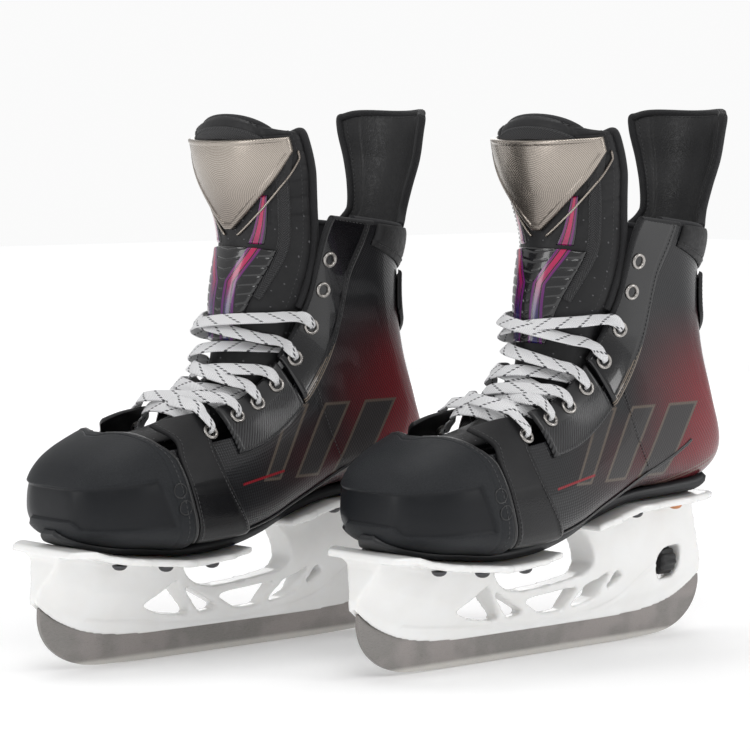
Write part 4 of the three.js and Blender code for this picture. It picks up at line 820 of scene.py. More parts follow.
gloss = Finish("gloss_facing", Base_Color=(0.005, 0.005, 0.006), Roughness=0.2, Specular_IOR_Level=0.4,
    Coat_Weight=0.6, Coat_Roughness=0.04)
fa, fb = gloss.along()
fv = gloss.place()[0]
wedge_width = gloss.math("MULTIPLY", gloss.math("MULTIPLY", gloss.step(fa, 193, 222),
    gloss.step(fa, 262, 232)), 5.0)
from_edge = gloss.math("SUBTRACT", 32.6, fb)
border = gloss.step(fb, 27.2, 28.0)
bronze = gloss.math("LESS_THAN", from_edge, wedge_width)
pin = gloss.math("MULTIPLY", gloss.step(gloss.math("SINE", gloss.math("MULTIPLY", fb, 2 * math.pi / 1.3)),
    -0.4, 0.3), bronze)
gloss.set("Base Color", gloss.mix(pin, gloss.mix(border, (0.004, 0.004, 0.005), (0.010, 0.010, 0.011)),
    (0.20, 0.155, 0.115)))
gloss.set("Roughness", gloss.mix(border, (0.17, 0.17, 0.17), (0.48, 0.48, 0.48)))
gloss.bump(gloss.noise(fv, 1.1, 3), 0.00012, 0.4)
us, ms = np.linspace(11.85, 19.98, 150), np.linspace(-8, -5, 50)
U, M = np.meshgrid(us, ms, indexing="ij")
fall = rolled(np.minimum(U - 11.85, 19.98 - U), 0.12) * rolled(np.minimum((M + 8) * 9, (-5 - M) * 11), 1.6)
step_in = 0.5 * soft(-M, 5.45, 5.55) * soft(-M, 7.9, 7.8)  # the moulded field inside the bound border
panel("facing_panel", U, M, fall, 2.0, gloss, ("facing",), extra=0.25 * step_in)
fu = np.linspace(12.0, 19.8, 200)
make("facing_stitching", *joined([stitches(*on(fu, np.full(200, -5.26), 2.5), 2.6, 1.9, 0.55),
    stitches(*on(fu, np.full(200, -7.83), 2.5), 2.6, 1.9, 0.5),
    stitches(*on(np.full(40, 19.8), np.linspace(-7.8, -5.2, 40), 2.5), 2.6, 1.9, 0.55)]), thread, twin=True,
    weld=True)
binding = Finish("cloth_binding", Base_Color=(0.016, 0.016, 0.018), Roughness=0.7, Specular_IOR_Level=0.3,
    Sheen_Weight=0.05)
ba, bb = binding.along()
twill = binding.math("SINE", binding.math("MULTIPLY", binding.math("ADD", ba, bb), 2 * math.pi / 0.9))
binding.set("Base Color", binding.mix(binding.step(twill, -0.5, 0.8), (0.010, 0.010, 0.011),
    (0.028, 0.028, 0.030))).bump(twill, 0.0002, 0.6)
bu = np.linspace(11.9, 19.95, 240)
make("facing_binding", *joined([tube(*on(bu, np.full(240, -7.97), 0.6), 2.6, 4.2, 10),
    tube(*on(np.full(60, 19.97), np.linspace(-7.95, -4.9, 60), 0.4), 2.8, 4.4, 10)]), binding, twin=True,
    weld=True)

# ==== Eyelets ====
# Nickel-plated brass rings, rolled over at the face, riveted through each panel to a strip behind it.
nickel = Finish("nickel_eyelet", Metallic=1.0, Roughness=0.27, Base_Color=(0.42, 0.40, 0.38))
nickel.set("Roughness", nickel.step(nickel.noise(nickel.place()[0], 0.6, 3), 0.3, 0.7, 0.2, 0.36))
nickel.bump(nickel.noise(nickel.place()[0], 1.5, 2), 0.00005, 0.4)
LACE_U = np.array([8.62, 9.62, 10.42, 11.3, 12.25, 13.3, 14.6, 16.1])
EDGE_SET = np.array([16, 10.5, 9.5, 9.5, 9.5, 9.5, 9.5, 9.5])


def eyelet_frame(i, side):
    """At eyelet i: its place on the last, the outward normal, the way down the section, and the way along."""
    p, n = beside(LACE_U[i], EDGE_SET[i], side), beside(LACE_U[i], EDGE_SET[i], side, 1.0)
    n = (n - p) / np.linalg.norm(n - p)
    d = beside(LACE_U[i], EDGE_SET[i] + 2.5, side) - p
    b = np.cross(n, d)
    b /= np.linalg.norm(b)
    return p, n, np.cross(b, n), b


ring_profile = np.array([[2.95, -1.1], [2.75, 0.5], [2.75, 2.6], [2.9, 3.35], [3.4, 3.85], [4.0, 3.95],
    [4.5, 3.7], [4.85, 3.2], [4.9, 2.75], [3.7, 2.7], [3.7, -1.1]])
rings = []
for e in range(8):
    p, n, t, b = eyelet_frame(e, -1)
    a = np.arange(36) * np.pi / 18
    around = t[None] * np.cos(a)[:, None] + b[None] * np.sin(a)[:, None]
    grid = p + n * ring_profile[:, None, 1:] + around[None] * ring_profile[:, None, :1]
    k = len(ring_profile)
    face = grid_faces(k, 36, wrap=True)
    last_row = np.column_stack([np.arange(36) + (k - 1) * 36, np.arange(36), (np.arange(36) + 1) % 36,
        (np.arange(36) + 1) % 36 + (k - 1) * 36])
    rings.append((grid.reshape(-1, 3), np.concatenate([face, last_row[:, [2, 3, 0, 1]]]),
        grid.reshape(-1, 3)[:, [0, 2]]))
make("eyelet_rings", *joined(rings), nickel, stands=("eyelets",), twin=True, weld=True)

# ==== Liner and footbed ====
# Brushed dark cloth over thin foam, glued inside the shell, with a foam footbed laid on it. The cloth is
# turned over the rim and sewn, so a soft roll hides the raw edge of shell and foam.
lining = Finish("brushed_lining", Base_Color=(0.018, 0.018, 0.020), Roughness=0.9, Specular_IOR_Level=0.3,
    Sheen_Weight=0.06)
lining.bump(lining.noise(lining.place()[0], 2.4, 3), 0.0002, 0.6)
U, M = np.meshgrid(np.linspace(5, RIM, 100), np.linspace(-6, 6, 90), indexing="ij")
outer, inner = boot(U, M, -2.6), boot(U, M, -5.8)
sheet("boot_liner", outer, inner, cloth_map(U, M), lining, stands=("liner",), soft=0.8)
foam = Finish("footbed_foam", Base_Color=(0.05, 0.05, 0.055), Roughness=0.85, Sheen_Weight=0.2)
foam.bump(foam.node("ShaderNodeTexVoronoi", {"Vector": foam.place()[0], "Scale": 0.8}), 0.0003, 0.4)
U, M = np.meshgrid(np.linspace(6, 13, 90), np.linspace(-1, 1, 50), indexing="ij")
fall = rolled(np.minimum(np.minimum(U - 6, 13 - U) * 8, (1 - np.abs(M)) * 20), 1.5)
outer, inner = boot(U, M, -6.44 - 0.8 * (1 - fall)), boot(U, M, -9.44 - fall)
sheet("foam_footbed", outer, inner, cloth_map(U, M), foam, stands=("footbed",), soft=0.7)
rm = np.linspace(-6.0, -2.0, 120)
make("rim_roll", *tube(*on(np.full(120, RIM - 0.02), rm, -2.9), 5.0, 7.2, 14), lining, twin=True, weld=True)

# ==== Collar pad and tendon base ====
# A padded band of soft matte leather sewn round the rear half of the rim, thin at its lower seam and full
# at the top, and below it, over the Achilles tendon, a moulded black tab that carries the foot of the
# guard.
soft_leather = Finish("soft_leather", Base_Color=(0.014, 0.014, 0.015), Roughness=0.55,
    Specular_IOR_Level=0.35, Sheen_Weight=0.03)
lv = soft_leather.place()[0]
pebble = soft_leather.node("ShaderNodeTexVoronoi", {"Vector": lv, "Scale": 0.75})
soft_leather.set("Base Color", soft_leather.mix(soft_leather.noise(lv, 0.09, 3), (0.009, 0.009, 0.010),
    (0.021, 0.021, 0.022)))
soft_leather.set("Roughness", soft_leather.step(soft_leather.noise(lv, 0.3, 3), 0.3, 0.7, 0.48, 0.62))
soft_leather.bump(pebble, 0.0003, 0.45)
us, ms = np.linspace(18.9, 19.99, 40), np.linspace(-4.6, 4.6, 180)
U, M = np.meshgrid(us, ms, indexing="ij")
crown = np.sin(np.pi * np.clip((U - 18.9) / 1.22, 0, 1)) ** 0.55 * rolled(4.6 - np.abs(M), 0.35)
seam = np.exp(-((U - 19.12) / 0.03) ** 2)
outer, inner = boot(U, M, 0.6 + 3.3 * crown - 0.6 * seam), boot(U, M, 0.4)
sheet("collar_padding", outer, inner, cloth_map(U, M), soft_leather, stands=("collar_pad",), soft=0.6)
cm = np.linspace(-4.4, -0.05, 150)
make("collar_stitching", *stitches(*on(np.full(150, 19.07), cm, 2.7), 2.6, 1.9, 0.55), thread, twin=True,
    weld=True)
ms = np.linspace(-2.2, 2.2, 90)
ts = np.linspace(0, 1, 50)
U = (17.5 + 0.12 * np.abs(ms))[None, :] * (1 - ts[:, None]) + 18.78 * ts[:, None]
M = np.repeat(ms[None, :], 50, 0)
fall = rolled(np.minimum(np.minimum(ts, 1 - ts)[:, None] * 26, (2.2 - np.abs(M)) * 12), 1.8)
outer, inner = boot(U, M, 1.4 + 2.0 * fall), boot(U, M, 1.1)
sheet("tendon_tab", outer, inner, cloth_map(U, M), saddle_black, stands=("tendon_base",))
make("tab_stitching", *stitches(*on(np.linspace(17.75, 18.6, 40), np.full(40, -2.02), 3.2), 2.6, 1.9, 0.55),
    thread, twin=True, weld=True)

# ==== Tendon guard ====
# A tall flexible guard of leather-like board that stands up behind the ankle, hollow towards the leg,
# embossed with an inverted Y, bound with cloth along its edge and sewn down along the rim.
GUARD = np.array([[124, 253, 27, 10], [127, 262, 24.5, 9], [130.5, 276, 27, 10], [135, 292, 32, 13],
    [137, 308, 36.5, 16], [139.5, 321, 39, 18]], float)
guard_turn = ("guard", (127, 0, 250), (133, 0, 285))


def guard(a, b, off=0.0):
    """The guard at share a of its height and share b across, moved back by off: a parabola across each row of
    GUARD, whose foot follows the rim of the boot."""
    a, b, off = np.broadcast_arrays(np.asarray(a, float), np.asarray(b, float), np.asarray(off, float))
    row, s = catmull(GUARD, a * 5), 2 * b - 1
    corner = np.clip((a - 0.86) / 0.14, 0, 1) ** 2 * np.abs(s) ** 6 * 5  # the top corners are rounded off
    main = np.stack([row[..., 0] - row[..., 3] * s**2 + off * (1 - 0.35 * s**2),
        s * (row[..., 2] - 0.6 * corner), row[..., 1] + 2.5 * s**2 * a - corner], -1)
    rim = boot(np.full(a.shape, RIM - 0.001), 2.3 * s, off * 0.5 - 1.1) + (0, 0, 1)
    share = np.clip(a / 0.2, 0, 1)[..., None]
    share = share * share * (3 - 2 * share)
    return rim * (1 - share) + main * share


board = Finish("guard_leather", Base_Color=(0.012, 0.012, 0.013), Roughness=0.42, Specular_IOR_Level=0.4)
board_v = board.place()[0]
board.set("Base Color", board.mix(board.noise(board_v, 0.07, 3), (0.008, 0.008, 0.009),
    (0.018, 0.018, 0.019)))
board.set("Roughness", board.step(board.noise(board_v, 0.35, 3), 0.3, 0.7, 0.36, 0.52))
board.bump(board.node("ShaderNodeTexVoronoi", {"Vector": board_v, "Scale": 0.85}), 0.00025, 0.4)
a, b = np.meshgrid(np.linspace(0, 1, 110), np.linspace(0, 1, 101), indexing="ij")
s = np.abs(2 * b - 1)
edge = rolled(np.minimum(np.minimum(1 - a, 1.0) * 20, (1 - s) * 14), 1.0)
groove = lambda d, width: np.exp(-(d / width) ** 2)
arm = np.where(a > 0.52, s, np.abs(s - (0.52 - a) * 1.15))
emboss = (groove(arm, 0.035) * (a > 0.1) * (a < 0.9) + groove(s - 0.74, 0.03) * (a > 0.12)
    + 0.6 * groove(np.mod(a * 30, 1) - 0.5, 0.22) * (s < 0.6) * (a > 0.62) * (a < 0.9) * (s > 0.14))
outer = guard(a, b, 1.2 + 0.8 * edge - 0.8 * emboss)
inner = guard(a, b, -1.0 - 1.0 * edge + 0.5 * groove(s - 0.74, 0.03))
sheet("tendon_board", outer, inner, np.stack([a * 70, (2 * b - 1) * 30], -1), board, stands=("tendon_guard",),
    soft=0.5, turn=guard_turn)


def outline(surface, a0, corner=0.06, n=120):
    """Up one side of a sheet from share a0, across its top and down the other side, rounded at the corners:
    the shares a and b."""
    up, over = np.linspace(a0, 1, n), np.linspace(1, 0, n)
    ab = np.concatenate([np.column_stack([up, np.ones(n)]), np.column_stack([np.ones(n), over]),
        np.column_stack([up[::-1], np.zeros(n)])])
    k = 2 * int(n * corner) + 1
    wide = np.concatenate([np.repeat(ab[:1], k // 2, 0), ab, np.repeat(ab[-1:], k // 2, 0)])
    ab = np.stack([np.convolve(wide[:, j], np.ones(k) / k, "valid") for j in (0, 1)], -1)
    path = surface(ab[:, 0], ab[:, 1])
    keep = np.concatenate([[True], np.linalg.norm(np.diff(path, axis=0), axis=1) > 0.02])
    return ab[keep], path[keep]


ab, path = outline(guard, 0.03)
back_normal = guard(ab[:, 0], ab[:, 1], 1.0) - path
make("guard_binding", *tube(path, back_normal, 4.6, 5.0, 12, 0.8), binding, weld=True, turn=guard_turn)
inset_a, inset_b = np.clip(ab[:, 0] * 0.955, 0.03, 1), 0.5 + (ab[:, 1] - 0.5) * 0.885
front_n = guard(inset_a, inset_b, 0) - guard(inset_a, inset_b, 1)
make("guard_stitching", *joined([stitches(guard(inset_a, inset_b, -2.1), front_n, 2.7, 2.0, 0.55),
    stitches(guard(inset_a, inset_b, 2.1), -front_n, 2.7, 2.0, 0.55)]), thread, weld=True, turn=guard_turn)

# ==== Tongue ====
# One long padded tongue of soft black leather: narrow under the lower lacing, wide and full above it, and
# standing well clear of the boot at the top. Its edge is bound, and one woven tape is sewn in an arch over
# the badge and down both sides.
TONGUE = np.array([
    [-93, 127, 8, 2, 5], [-76, 133.5, 16, 6, 6], [-58, 137.5, 17.5, 8, 7], [-40, 143, 18.5, 11, 8],
    [-23, 152, 19, 17, 8.5], [-12.5, 168, 21, 25, 9],
    [-8.5, 187, 25, 31, 9.5], [-7, 208, 29.5, 33, 10], [-3, 226, 33, 34, 10.5], [1.5, 244, 35.5, 33, 11],
    [0.5, 262, 40, 30, 12],
    [-3, 280, 45.5, 28, 13], [-6.5, 297, 46.5, 26, 14], [-8, 309, 44.5, 24, 14.5], [-7, 316, 39, 21, 12.5],
    [-4, 319.5, 31, 16, 7]], float)
tongue_turn = ("tongue", (1.5, 0, 237), (1.5, 0, 256))


def tongue(t, b, out=0.0, back=0.0):
    """The tongue at row t of TONGUE and share b across: an arc of 166 degrees across the row, as deep as the
    row says, moved forward by out, or back by its thickness, which thins to the edges."""
    t, b, out, back = np.broadcast_arrays(*(np.asarray(v, float) for v in (t, b, out, back)))
    p = catmull(TONGUE, t)
    ahead = catmull(TONGUE, np.minimum(15, t + 0.05)) - catmull(TONGUE, np.maximum(0, t - 0.05))
    l = np.hypot(ahead[..., 0], ahead[..., 1])
    nx, nz = -ahead[..., 1] / l, ahead[..., 0] / l
    ang = (2 * b - 1) * 1.45
    s, d = np.sin(ang) / np.sin(1.45), p[..., 3] * (1 - np.cos(ang)) / (1 - np.cos(1.45))
    off = out - back * p[..., 4] * (1 - 0.55 * s**2)
    return np.stack([p[..., 0] + nx * (off - d), s * (p[..., 2] * (1 - 0.06 * back) + out),
        p[..., 1] + nz * (off - d)], -1)


felt = Finish("tongue_leather", Base_Color=(0.014, 0.014, 0.016), Roughness=0.5, Specular_IOR_Level=0.3,
    Sheen_Weight=0.05)
tv = felt.place()[0]
mesh_a, mesh_b = felt.along()
holes = felt.math("MULTIPLY", felt.math("SINE", felt.math("MULTIPLY", mesh_a, 2 * math.pi / 11)),
    felt.math("SINE", felt.math("MULTIPLY", mesh_b, 2 * math.pi / 11)))
holes = felt.math("MULTIPLY", felt.step(holes, 0.955, 0.985), felt.step(felt.place()[3], 268, 258))
skin = felt.mix(felt.noise(tv, 0.09, 3), (0.008, 0.008, 0.009), (0.017, 0.017, 0.018))
felt.set("Base Color", felt.mix(holes, skin, (0.10, 0.10, 0.105)))
felt.set("Roughness", felt.step(felt.noise(tv, 0.4, 3), 0.3, 0.7, 0.40, 0.54))
felt.bump(felt.math("SUBTRACT", felt.noise(tv, 1.3, 4), felt.math("MULTIPLY", holes, 3.0)), 0.00022, 0.6)
t, b = np.meshgrid(np.linspace(0, 15, 260), np.linspace(0, 1, 91), indexing="ij")
s = np.abs(2 * b - 1)
edge = rolled(np.minimum(np.minimum(t * 2.0, (15 - t) * 2.2), (1 - s) * 9), 1.0)
quilt = (groove(s - 0.5, 0.022) * (t > 9.6)
    + groove(np.mod(t * 2, 1) - 0.5, 0.07) * (s > 0.52) * (t > 9.6) * (t < 14) * 0.55)
front = tongue(t, b, -2.0 + 2.2 * edge - 0.9 * quilt)
rear = tongue(t, b, -0.3 + 0.3 * edge, 0.78 + 0.22 * edge)
across = (2 * b - 1) * catmull(TONGUE, t)[..., 2] * 1.2
length = np.interp(t, np.arange(16),
    np.concatenate([[0], np.cumsum(np.hypot(*np.diff(TONGUE[:, :2], axis=0).T))]))
sheet("padded_tongue", front, rear, np.stack([length, across], -1), felt, stands=("tongue_lower",
    "tongue_top"), soft=0.7, turn=tongue_turn)
ab, path = outline(lambda a, b: tongue(15 * a, b, -0.4, 0.45), 0.47, 0.09)
out_normal = tongue(15 * ab[:, 0], ab[:, 1], 0.6, 0.45) - path
thick = np.interp(ab[:, 0] * 15, [0, 8, 13, 15], [5.5, 7.0, 8.0, 7.4])
make("tongue_binding", *tube(path, out_normal, 4.8, thick, 14, 0.75), binding, weld=True, turn=tongue_turn)
in_a, in_b = np.clip(ab[:, 0] * 0.975, 0, 1), 0.5 + (ab[:, 1] - 0.5) * 0.88
stitch_n = tongue(15 * in_a, in_b, 1.0) - tongue(15 * in_a, in_b, 0.0)
make("tongue_stitching", *stitches(tongue(15 * in_a, in_b, 0.0), stitch_n, 2.8, 2.1, 0.6), thread, weld=True,
    turn=tongue_turn)
tape = Finish("woven_tape", Base_Color=(0.03, 0.03, 0.032), Roughness=0.6, Sheen_Weight=0.04)
qa, qb = tape.along()
herring = tape.math("SINE", tape.math("MULTIPLY", tape.math("ADD", qa, tape.math("ABSOLUTE", qb)),
    2 * math.pi / 1.5))
tape.set("Base Color", tape.mix(tape.step(herring, -0.4, 0.6), (0.007, 0.007, 0.008),
    (0.032, 0.032, 0.034))).bump(herring, 0.0003, 0.6)
arch = np.linspace(0, np.pi, 260)
tape_t = np.concatenate([np.linspace(7.2, 9.0, 60)[:-1], 9.0 + 4.0 * np.sin(arch) ** 0.5,
    np.linspace(9.0, 7.2, 60)[1:]])
tape_b = np.concatenate([np.linspace(0.26, 0.17, 60)[:-1], 0.5 - 0.33 * np.cos(arch), np.linspace(0.83, 0.74,
    60)[1:]])
laid = tongue(tape_t, tape_b, 0.35)
spaced = np.interp(np.linspace(0, 1, 340),
    np.concatenate([[0], np.cumsum(np.linalg.norm(np.diff(laid, axis=0), axis=1))])
    / np.linalg.norm(np.diff(laid, axis=0), axis=1).sum(), np.arange(len(laid)))
tape_t, tape_b = (np.convolve(np.pad(np.interp(spaced, np.arange(len(laid)), v), 8, mode="edge"),
    np.ones(17) / 17, "valid") for v in (tape_t, tape_b))
laid, up = tongue(tape_t, tape_b, 0.35), tongue(tape_t, tape_b, 1.35) - tongue(tape_t, tape_b, 0.35)
make("tongue_tape", *tube(laid, up, 8.0, 1.6, 12, 0.5), tape, weld=True, turn=tongue_turn)
across = np.cross(np.gradient(laid, axis=0), up)
across /= np.linalg.norm(across, axis=1, keepdims=True)
make("tape_stitching", *joined([stitches(laid + across * k + up * 0.75, up, 2.6, 1.9, 0.55)
    for k in (-3.0, 3.0)]), thread, weld=True, turn=tongue_turn)

# ==== Tongue badge and lace guard ====
# A thin moulded shield in brushed champagne with a plain bevelled rim, welded to the front of the tongue,
# and under it a glossy black guard for the laces with a Y of three printed stripes that fade from magenta
# through purple to navy.
champagne = Finish("champagne_badge", Base_Color=(0.30, 0.255, 0.215), Metallic=0.9, Roughness=0.27,
    Coat_Weight=0.3)
badge_a, badge_b = champagne.along()
squares = [champagne.math("POWER", v, 2.0) for v in (champagne.math("SUBTRACT", badge_a, 22.0), badge_b)]
centre = champagne.math("SQRT", champagne.math("ADD", *squares))
turning = champagne.math("SINE", champagne.math("MULTIPLY", centre, 2 * math.pi / 1.1))
# painted reflection: the badge's colour brightens from its foot towards its top
painted_reflection_ramp = champagne.step(badge_a, 6, 40)
champagne.set("Base Color", champagne.mix(champagne.step(turning, -0.6, 0.8),
    champagne.mix(painted_reflection_ramp, (0.20, 0.17, 0.15), (0.30, 0.26, 0.22)),
    champagne.mix(painted_reflection_ramp, (0.34, 0.30, 0.26), (0.50, 0.45, 0.40))))
champagne.bump(turning, 0.00005, 0.5)
a, b = np.meshgrid(np.linspace(0, 1, 90), np.linspace(0, 1, 71), indexing="ij")
span = 0.05 + 0.79 * np.minimum(1, a * 1.3) ** 0.9
t, v = 9 + 6 * (0.07 + 0.53 * a), 0.5 + (b - 0.5) * span
half = (b - 0.5) * span * 2 * 1.25 * catmull(TONGUE, t)[..., 2]
rim_gap = np.minimum(np.minimum(a, 1 - a) * 56, (1 - np.abs(2 * b - 1)) * span * 44)
rise = rolled(rim_gap, 1.4) * 1.3 - 0.55 * soft(rim_gap, 3.4, 4.2)
outer, inner = tongue(t, v, 2.2 + rise), tongue(t, v, 0.6)
sheet("shield_badge", outer, inner, np.stack([a * 55, half], -1), champagne, body="tongue",
    stands=("tongue_badge",))
side = np.linspace(0, 1, 60)
side_a, side_b = 1 - side, 0.5 - (0.05 + 0.79 * np.minimum(1, (1 - side) * 1.3) ** 0.9) / 2 - 0.028
trim = lambda out: tongue(9 + 6 * (0.04 + 0.50 * side_a[8:]), side_b[8:], out)
make("badge_trim", *tube(trim(0.9), trim(1.9) - trim(0.9), 1.5, 1.8, 8), champagne, body="tongue", twin=True,
    weld=True)
i, j = np.meshgrid(np.linspace(0, 1, 50), np.linspace(0, 1, 24), indexing="ij")
inner_t, inner_b = 12.2 - 1.9 * i, 0.085 + 0.16 * i
outer_t, outer_b = 12.0 - 0.9 * i, 0.075 + 0.045 * i
t, b = inner_t * (1 - j) + outer_t * j, inner_b * (1 - j) + outer_b * j
ribs_up = rolled(np.minimum(np.minimum(i * 8, (1 - i) * 8), np.minimum(j, 1 - j) * 6), 1.0)
outer, inner = tongue(t, b, 0.4 + 0.8 * ribs_up), tongue(t, b, -0.1)
sheet("ribbed_side", outer, inner, np.stack([i * 32, 16 + j * 12], -1), ribbed, body="tongue", twin=True)


def striped(name, low, high):
    """A glossy black with three printed stripes: distance d from the stripes' middle in mm, height h from low
    to high in mm."""
    ink = Finish(name, Base_Color=(0.008, 0.008, 0.009), Roughness=0.2, Coat_Weight=0.6, Coat_Roughness=0.05)
    h, d = ink.along()
    height = ink.step(h, low, high)
    fade = ink.mix(height, (0.020, 0.016, 0.105), (0.46, 0.010, 0.085))
    fade = ink.mix(ink.step(ink.math("ABSOLUTE", d), 0.8, 3.2), fade, (0.12, 0.010, 0.14))
    bars3 = ink.math("SINE", ink.math("MULTIPLY", ink.math("ABSOLUTE", d), 2 * math.pi / 2.3))
    inside = ink.step(ink.math("ABSOLUTE", d), 3.6, 3.3)
    mask = ink.math("MULTIPLY", ink.step(bars3, -0.75, -0.55), inside)
    ink.set("Base Color", ink.mix(mask, (0.008, 0.008, 0.009), fade)).bump(mask, 0.00012, 0.5)
    return ink


stripes = striped("striped_guard", 12, 48)
a, b = np.meshgrid(np.linspace(0, 1, 120), np.linspace(0, 1, 101), indexing="ij")
t, v = 9 * (0.66 + 0.325 * a), 0.5 + (b - 0.5) * (0.34 + 0.26 * a)
half = (b - 0.5) * (0.34 + 0.26 * a) * 2 * 1.25 * catmull(TONGUE, t)[..., 2]
apart = 6.0 + 24 * np.maximum(0, a - 0.6)
chevron = groove(np.mod(a * 9 - np.abs(2 * b - 1) * 0.9, 1) - 0.5, 0.09)
chevron = chevron * (np.abs(np.abs(half) - apart) > 4.2)
rise = rolled(np.minimum(np.minimum(a, 1 - a) * 50, (1 - np.abs(2 * b - 1)) * 9), 1.2) * 1.2
outer, inner = tongue(t, v, 1.2 + rise - 0.4 * chevron), tongue(t, v, 0.4)
sheet("moulded_lace_guard", outer, inner, np.stack([a * 52, np.abs(half) - apart], -1), stripes,
    stands=("lace_guard",))
arms = striped("striped_arms", -20, 14)
h, k = np.meshgrid(np.linspace(0, 1, 70), np.linspace(-1, 1, 21), indexing="ij")
t = 8.98 + 1.5 * h
wide = catmull(TONGUE, t)[..., 2] * 2.5
b = 0.5 - (15.2 + 8.5 * h) / wide - k * (4.6 - 2.4 * h) / wide
lift = rolled(np.minimum((1 - np.abs(k)), np.minimum(h, 1 - h) * 6), 0.3)
outer, inner = tongue(t, b, 0.3 + 0.8 * lift), tongue(t, b, -0.2)
sheet("guard_arms", outer, inner, np.stack([h * 30, k * 4.6], -1), arms, twin=True, turn=tongue_turn)

# ==== Laces ====
# One flat woven cotton lace on each boot, white with a slanting grey tracer, threaded through the lower six
# pairs of eyelets: over the tongue from side to side, down through each eyelet and up behind the facing.
# Its ends are tucked behind the facing.
CROWN = np.array([[-58, 152], [-38.5, 155], [-27.5, 162.5], [-23, 174.5], [-19.5, 188], [-16.5, 201]], float)
LACE_WIDE, LACE_THICK, OVER = 8.2, 1.5, 2.6
route = []


def near(i, side, mm, off):
    """The last beside the facing edge at eyelet number i, which may lie between two."""
    return beside(np.interp(i, range(8), LACE_U), mm, side, off)


def through(i, side, outward):
    """Down through eyelet i from the front to the back of the facing, or outward the other way."""
    _, n, t, _ = eyelet_frame(i, side)
    at = lambda mm, off: beside(LACE_U[i], EDGE_SET[i] + mm, side, off)
    rows = [(at(-1.5, OVER + 3.8), 0.7 * n + 0.3 * t, 4.4, 1.6),
        (at(-0.1, OVER + 2.2), 0.25 * n + 0.75 * t, 3.0, 1.8), (at(0, 0.8), t, 2.6, 1.8),
        (at(0, -2), t, 2.6, 1.7), (at(-1.8, -3.8), -0.6 * n - 0.4 * t, 4.2, 1.4)]
    route.extend(rows[::-1] if outward else rows)


def strand(i, side, j, over_here, over_there, lift):
    """Across the tongue from eyelet i on one side to eyelet j on the other, on part of an ellipse round the
    front of the tongue."""
    over, n = {side: over_here, -side: over_there}, 13
    for k in range(n):
        share = k / (n - 1)
        at, q = i + (j - i) * (0.5 - 0.5 * math.cos(math.pi * share)), side * (1 - 2 * share)
        c = catmull(CROWN, at)
        hub = c + (34, -30)
        hint = (c - hub) / np.linalg.norm(c - hub)
        mid = c + hint * lift
        mine, far, setting = (-1 if q < 0 else 1), abs(q), np.interp(at, range(8), EDGE_SET)
        if over[mine]:
            eye, edge = near(at, mine, setting - 4.4, OVER + 3.8), near(at, mine, 0.2, OVER + 3)
        else:
            eye, edge = near(at, mine, setting - 5, -3.6), near(at, mine, 0.6, -3.6)
        width = LACE_WIDE * (0.74 + 0.26 * math.sin(math.pi * share) ** 0.5)
        if far > 0.7:
            outward = near(at, mine, setting - 4, 1) - near(at, mine, setting - 4, 0)
            route.append((edge + (eye - edge) * (far - 0.7) / 0.3, outward, width, LACE_THICK))
        else:
            angle = far / 0.7 * 1.36
            d = (1 - math.cos(angle)) / (1 - math.cos(1.36))
            p = np.array([mid[0] + (edge[0] - mid[0]) * d, edge[1] * math.sin(angle) / math.sin(1.36),
                mid[1] + (edge[2] - mid[1]) * d])
            up = p - (hub[0], 0, hub[1])
            route.append((p, up / np.linalg.norm(up), width, LACE_THICK))


step_over = 1.3 + LACE_THICK
through(4, -1, True)
strand(4, -1, 5, 1, 1, step_over)
through(5, 1, False)
for k in (4.72, 4.3, 3.65, 3.3):
    route.append((near(k, 1, 5, -4.2), eyelet_frame(4, 1)[1], 4.2, 1.2))
through(3, 1, True)
strand(3, 1, 2, 1, 0, 0)
through(2, -1, True)
strand(2, -1, 1, 1, 0, step_over)
through(1, 1, True)
strand(1, 1, 0, 1, 1, step_over)
through(0, -1, False)
strand(0, -1, 0, 0, 0, -5)
through(0, 1, True)
strand(0, 1, 1, 1, 0, 0)
through(1, -1, True)
strand(1, -1, 2, 1, 0, 0)
through(2, 1, True)
strand(2, 1, 3, 1, 0, step_over)
through(3, -1, True)
strand(3, -1, 4, 1, 0, 0.4)
through(4, 1, True)
strand(4, 1, 5, 1, 1, 0)
through(5, -1, False)
keep = [0]
for k in range(1, len(route)):
    if np.linalg.norm(route[k][0] - route[keep[-1]][0]) > 0.9:
        keep.append(k)
P, hint = np.array([route[k][0] for k in keep]), np.array([route[k][1] for k in keep])
size = np.array([route[k][2:] for k in keep])
gap = np.linalg.norm(np.diff(P, axis=0), axis=1)
at = np.concatenate([[0], np.cumsum(gap)])
slope = np.diff(P, axis=0) / gap[:, None]
share = (gap[:-1] / (gap[:-1] + gap[1:]))[:, None]
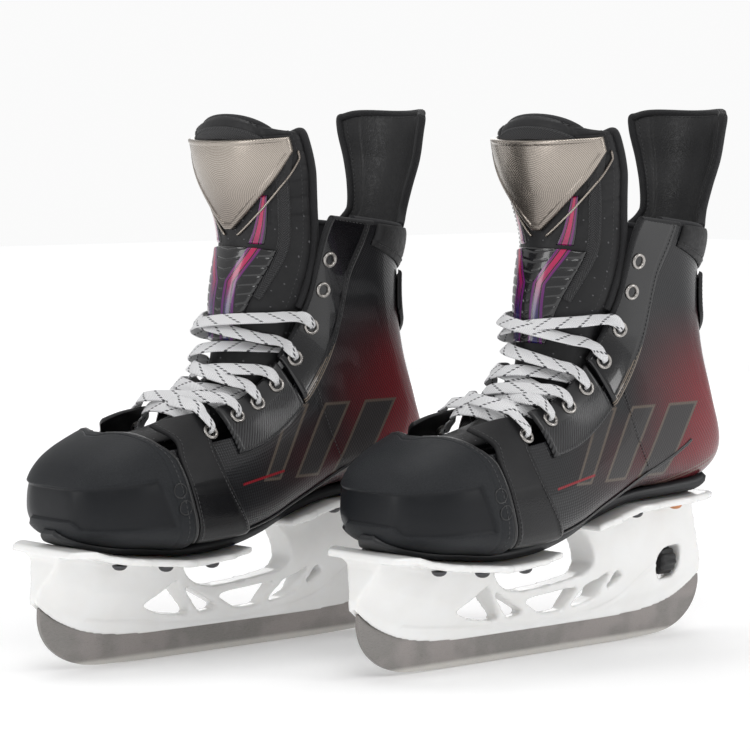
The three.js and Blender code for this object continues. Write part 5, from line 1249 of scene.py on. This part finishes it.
tangent = np.concatenate([slope[:1], slope[:-1] * (1 - share) + slope[1:] * share, slope[-1:]])
normal, last_n = [], None
for v, w in zip(tangent, hint):
    v = v / np.linalg.norm(v)
    w = w - v * (w @ v)
    w = w / max(np.linalg.norm(w), 1e-9)
    w = -w if last_n is not None and w @ last_n < 0 else w
    normal.append(w)
    last_n = w
normal = np.array(normal)
d = np.arange(0, at[-1], 1.2)
k = np.clip(np.searchsorted(at, d, "right") - 1, 0, len(gap) - 1)
f, h = ((d - at[k]) / gap[k])[:, None], gap[k][:, None]
path = ((2 * f**3 - 3 * f**2 + 1) * P[k] + (f**3 - 2 * f**2 + f) * h * tangent[k]
    + (3 * f**2 - 2 * f**3) * P[k + 1] + (f**3 - f**2) * h * tangent[k + 1])
normal = normal[k] * (1 - f) + normal[k + 1] * f
smooth_size = np.stack([np.convolve(np.interp(d, at, size[:, j]), np.ones(5) / 5, "same") for j in (0, 1)],
    -1)
smooth_size[:3], smooth_size[-3:] = smooth_size[3], smooth_size[-4]
cotton = Finish("woven_cotton", Base_Color=(0.90, 0.90, 0.91), Roughness=0.8, Sheen_Weight=0.1)
la, lb = cotton.along()
rib = cotton.math("SINE", cotton.math("MULTIPLY", cotton.math("ADD", la, cotton.math("ABSOLUTE", lb)),
    2 * math.pi / 1.25))
tracer = cotton.math("SINE", cotton.math("MULTIPLY", cotton.math("ADD", la, cotton.math("MULTIPLY", lb, 1.3)),
    2 * math.pi / 13))
tracer = cotton.math("MULTIPLY", cotton.step(tracer, 0.86, 0.93),
    cotton.step(cotton.math("SINE", cotton.math("MULTIPLY", lb, 2 * math.pi / 1.7)), -0.5, 0.1))
cotton.set("Base Color", cotton.mix(tracer, cotton.mix(cotton.step(rib, -0.6, 0.4), (0.74, 0.74, 0.76),
    (0.93, 0.93, 0.935)), (0.06, 0.06, 0.07))).bump(rib, 0.0003, 0.7)
make("woven_lace", *tube(path, normal, smooth_size[:, 0], smooth_size[:, 1], 16, 0.5), cotton,
    stands=("lace",), weld=True)
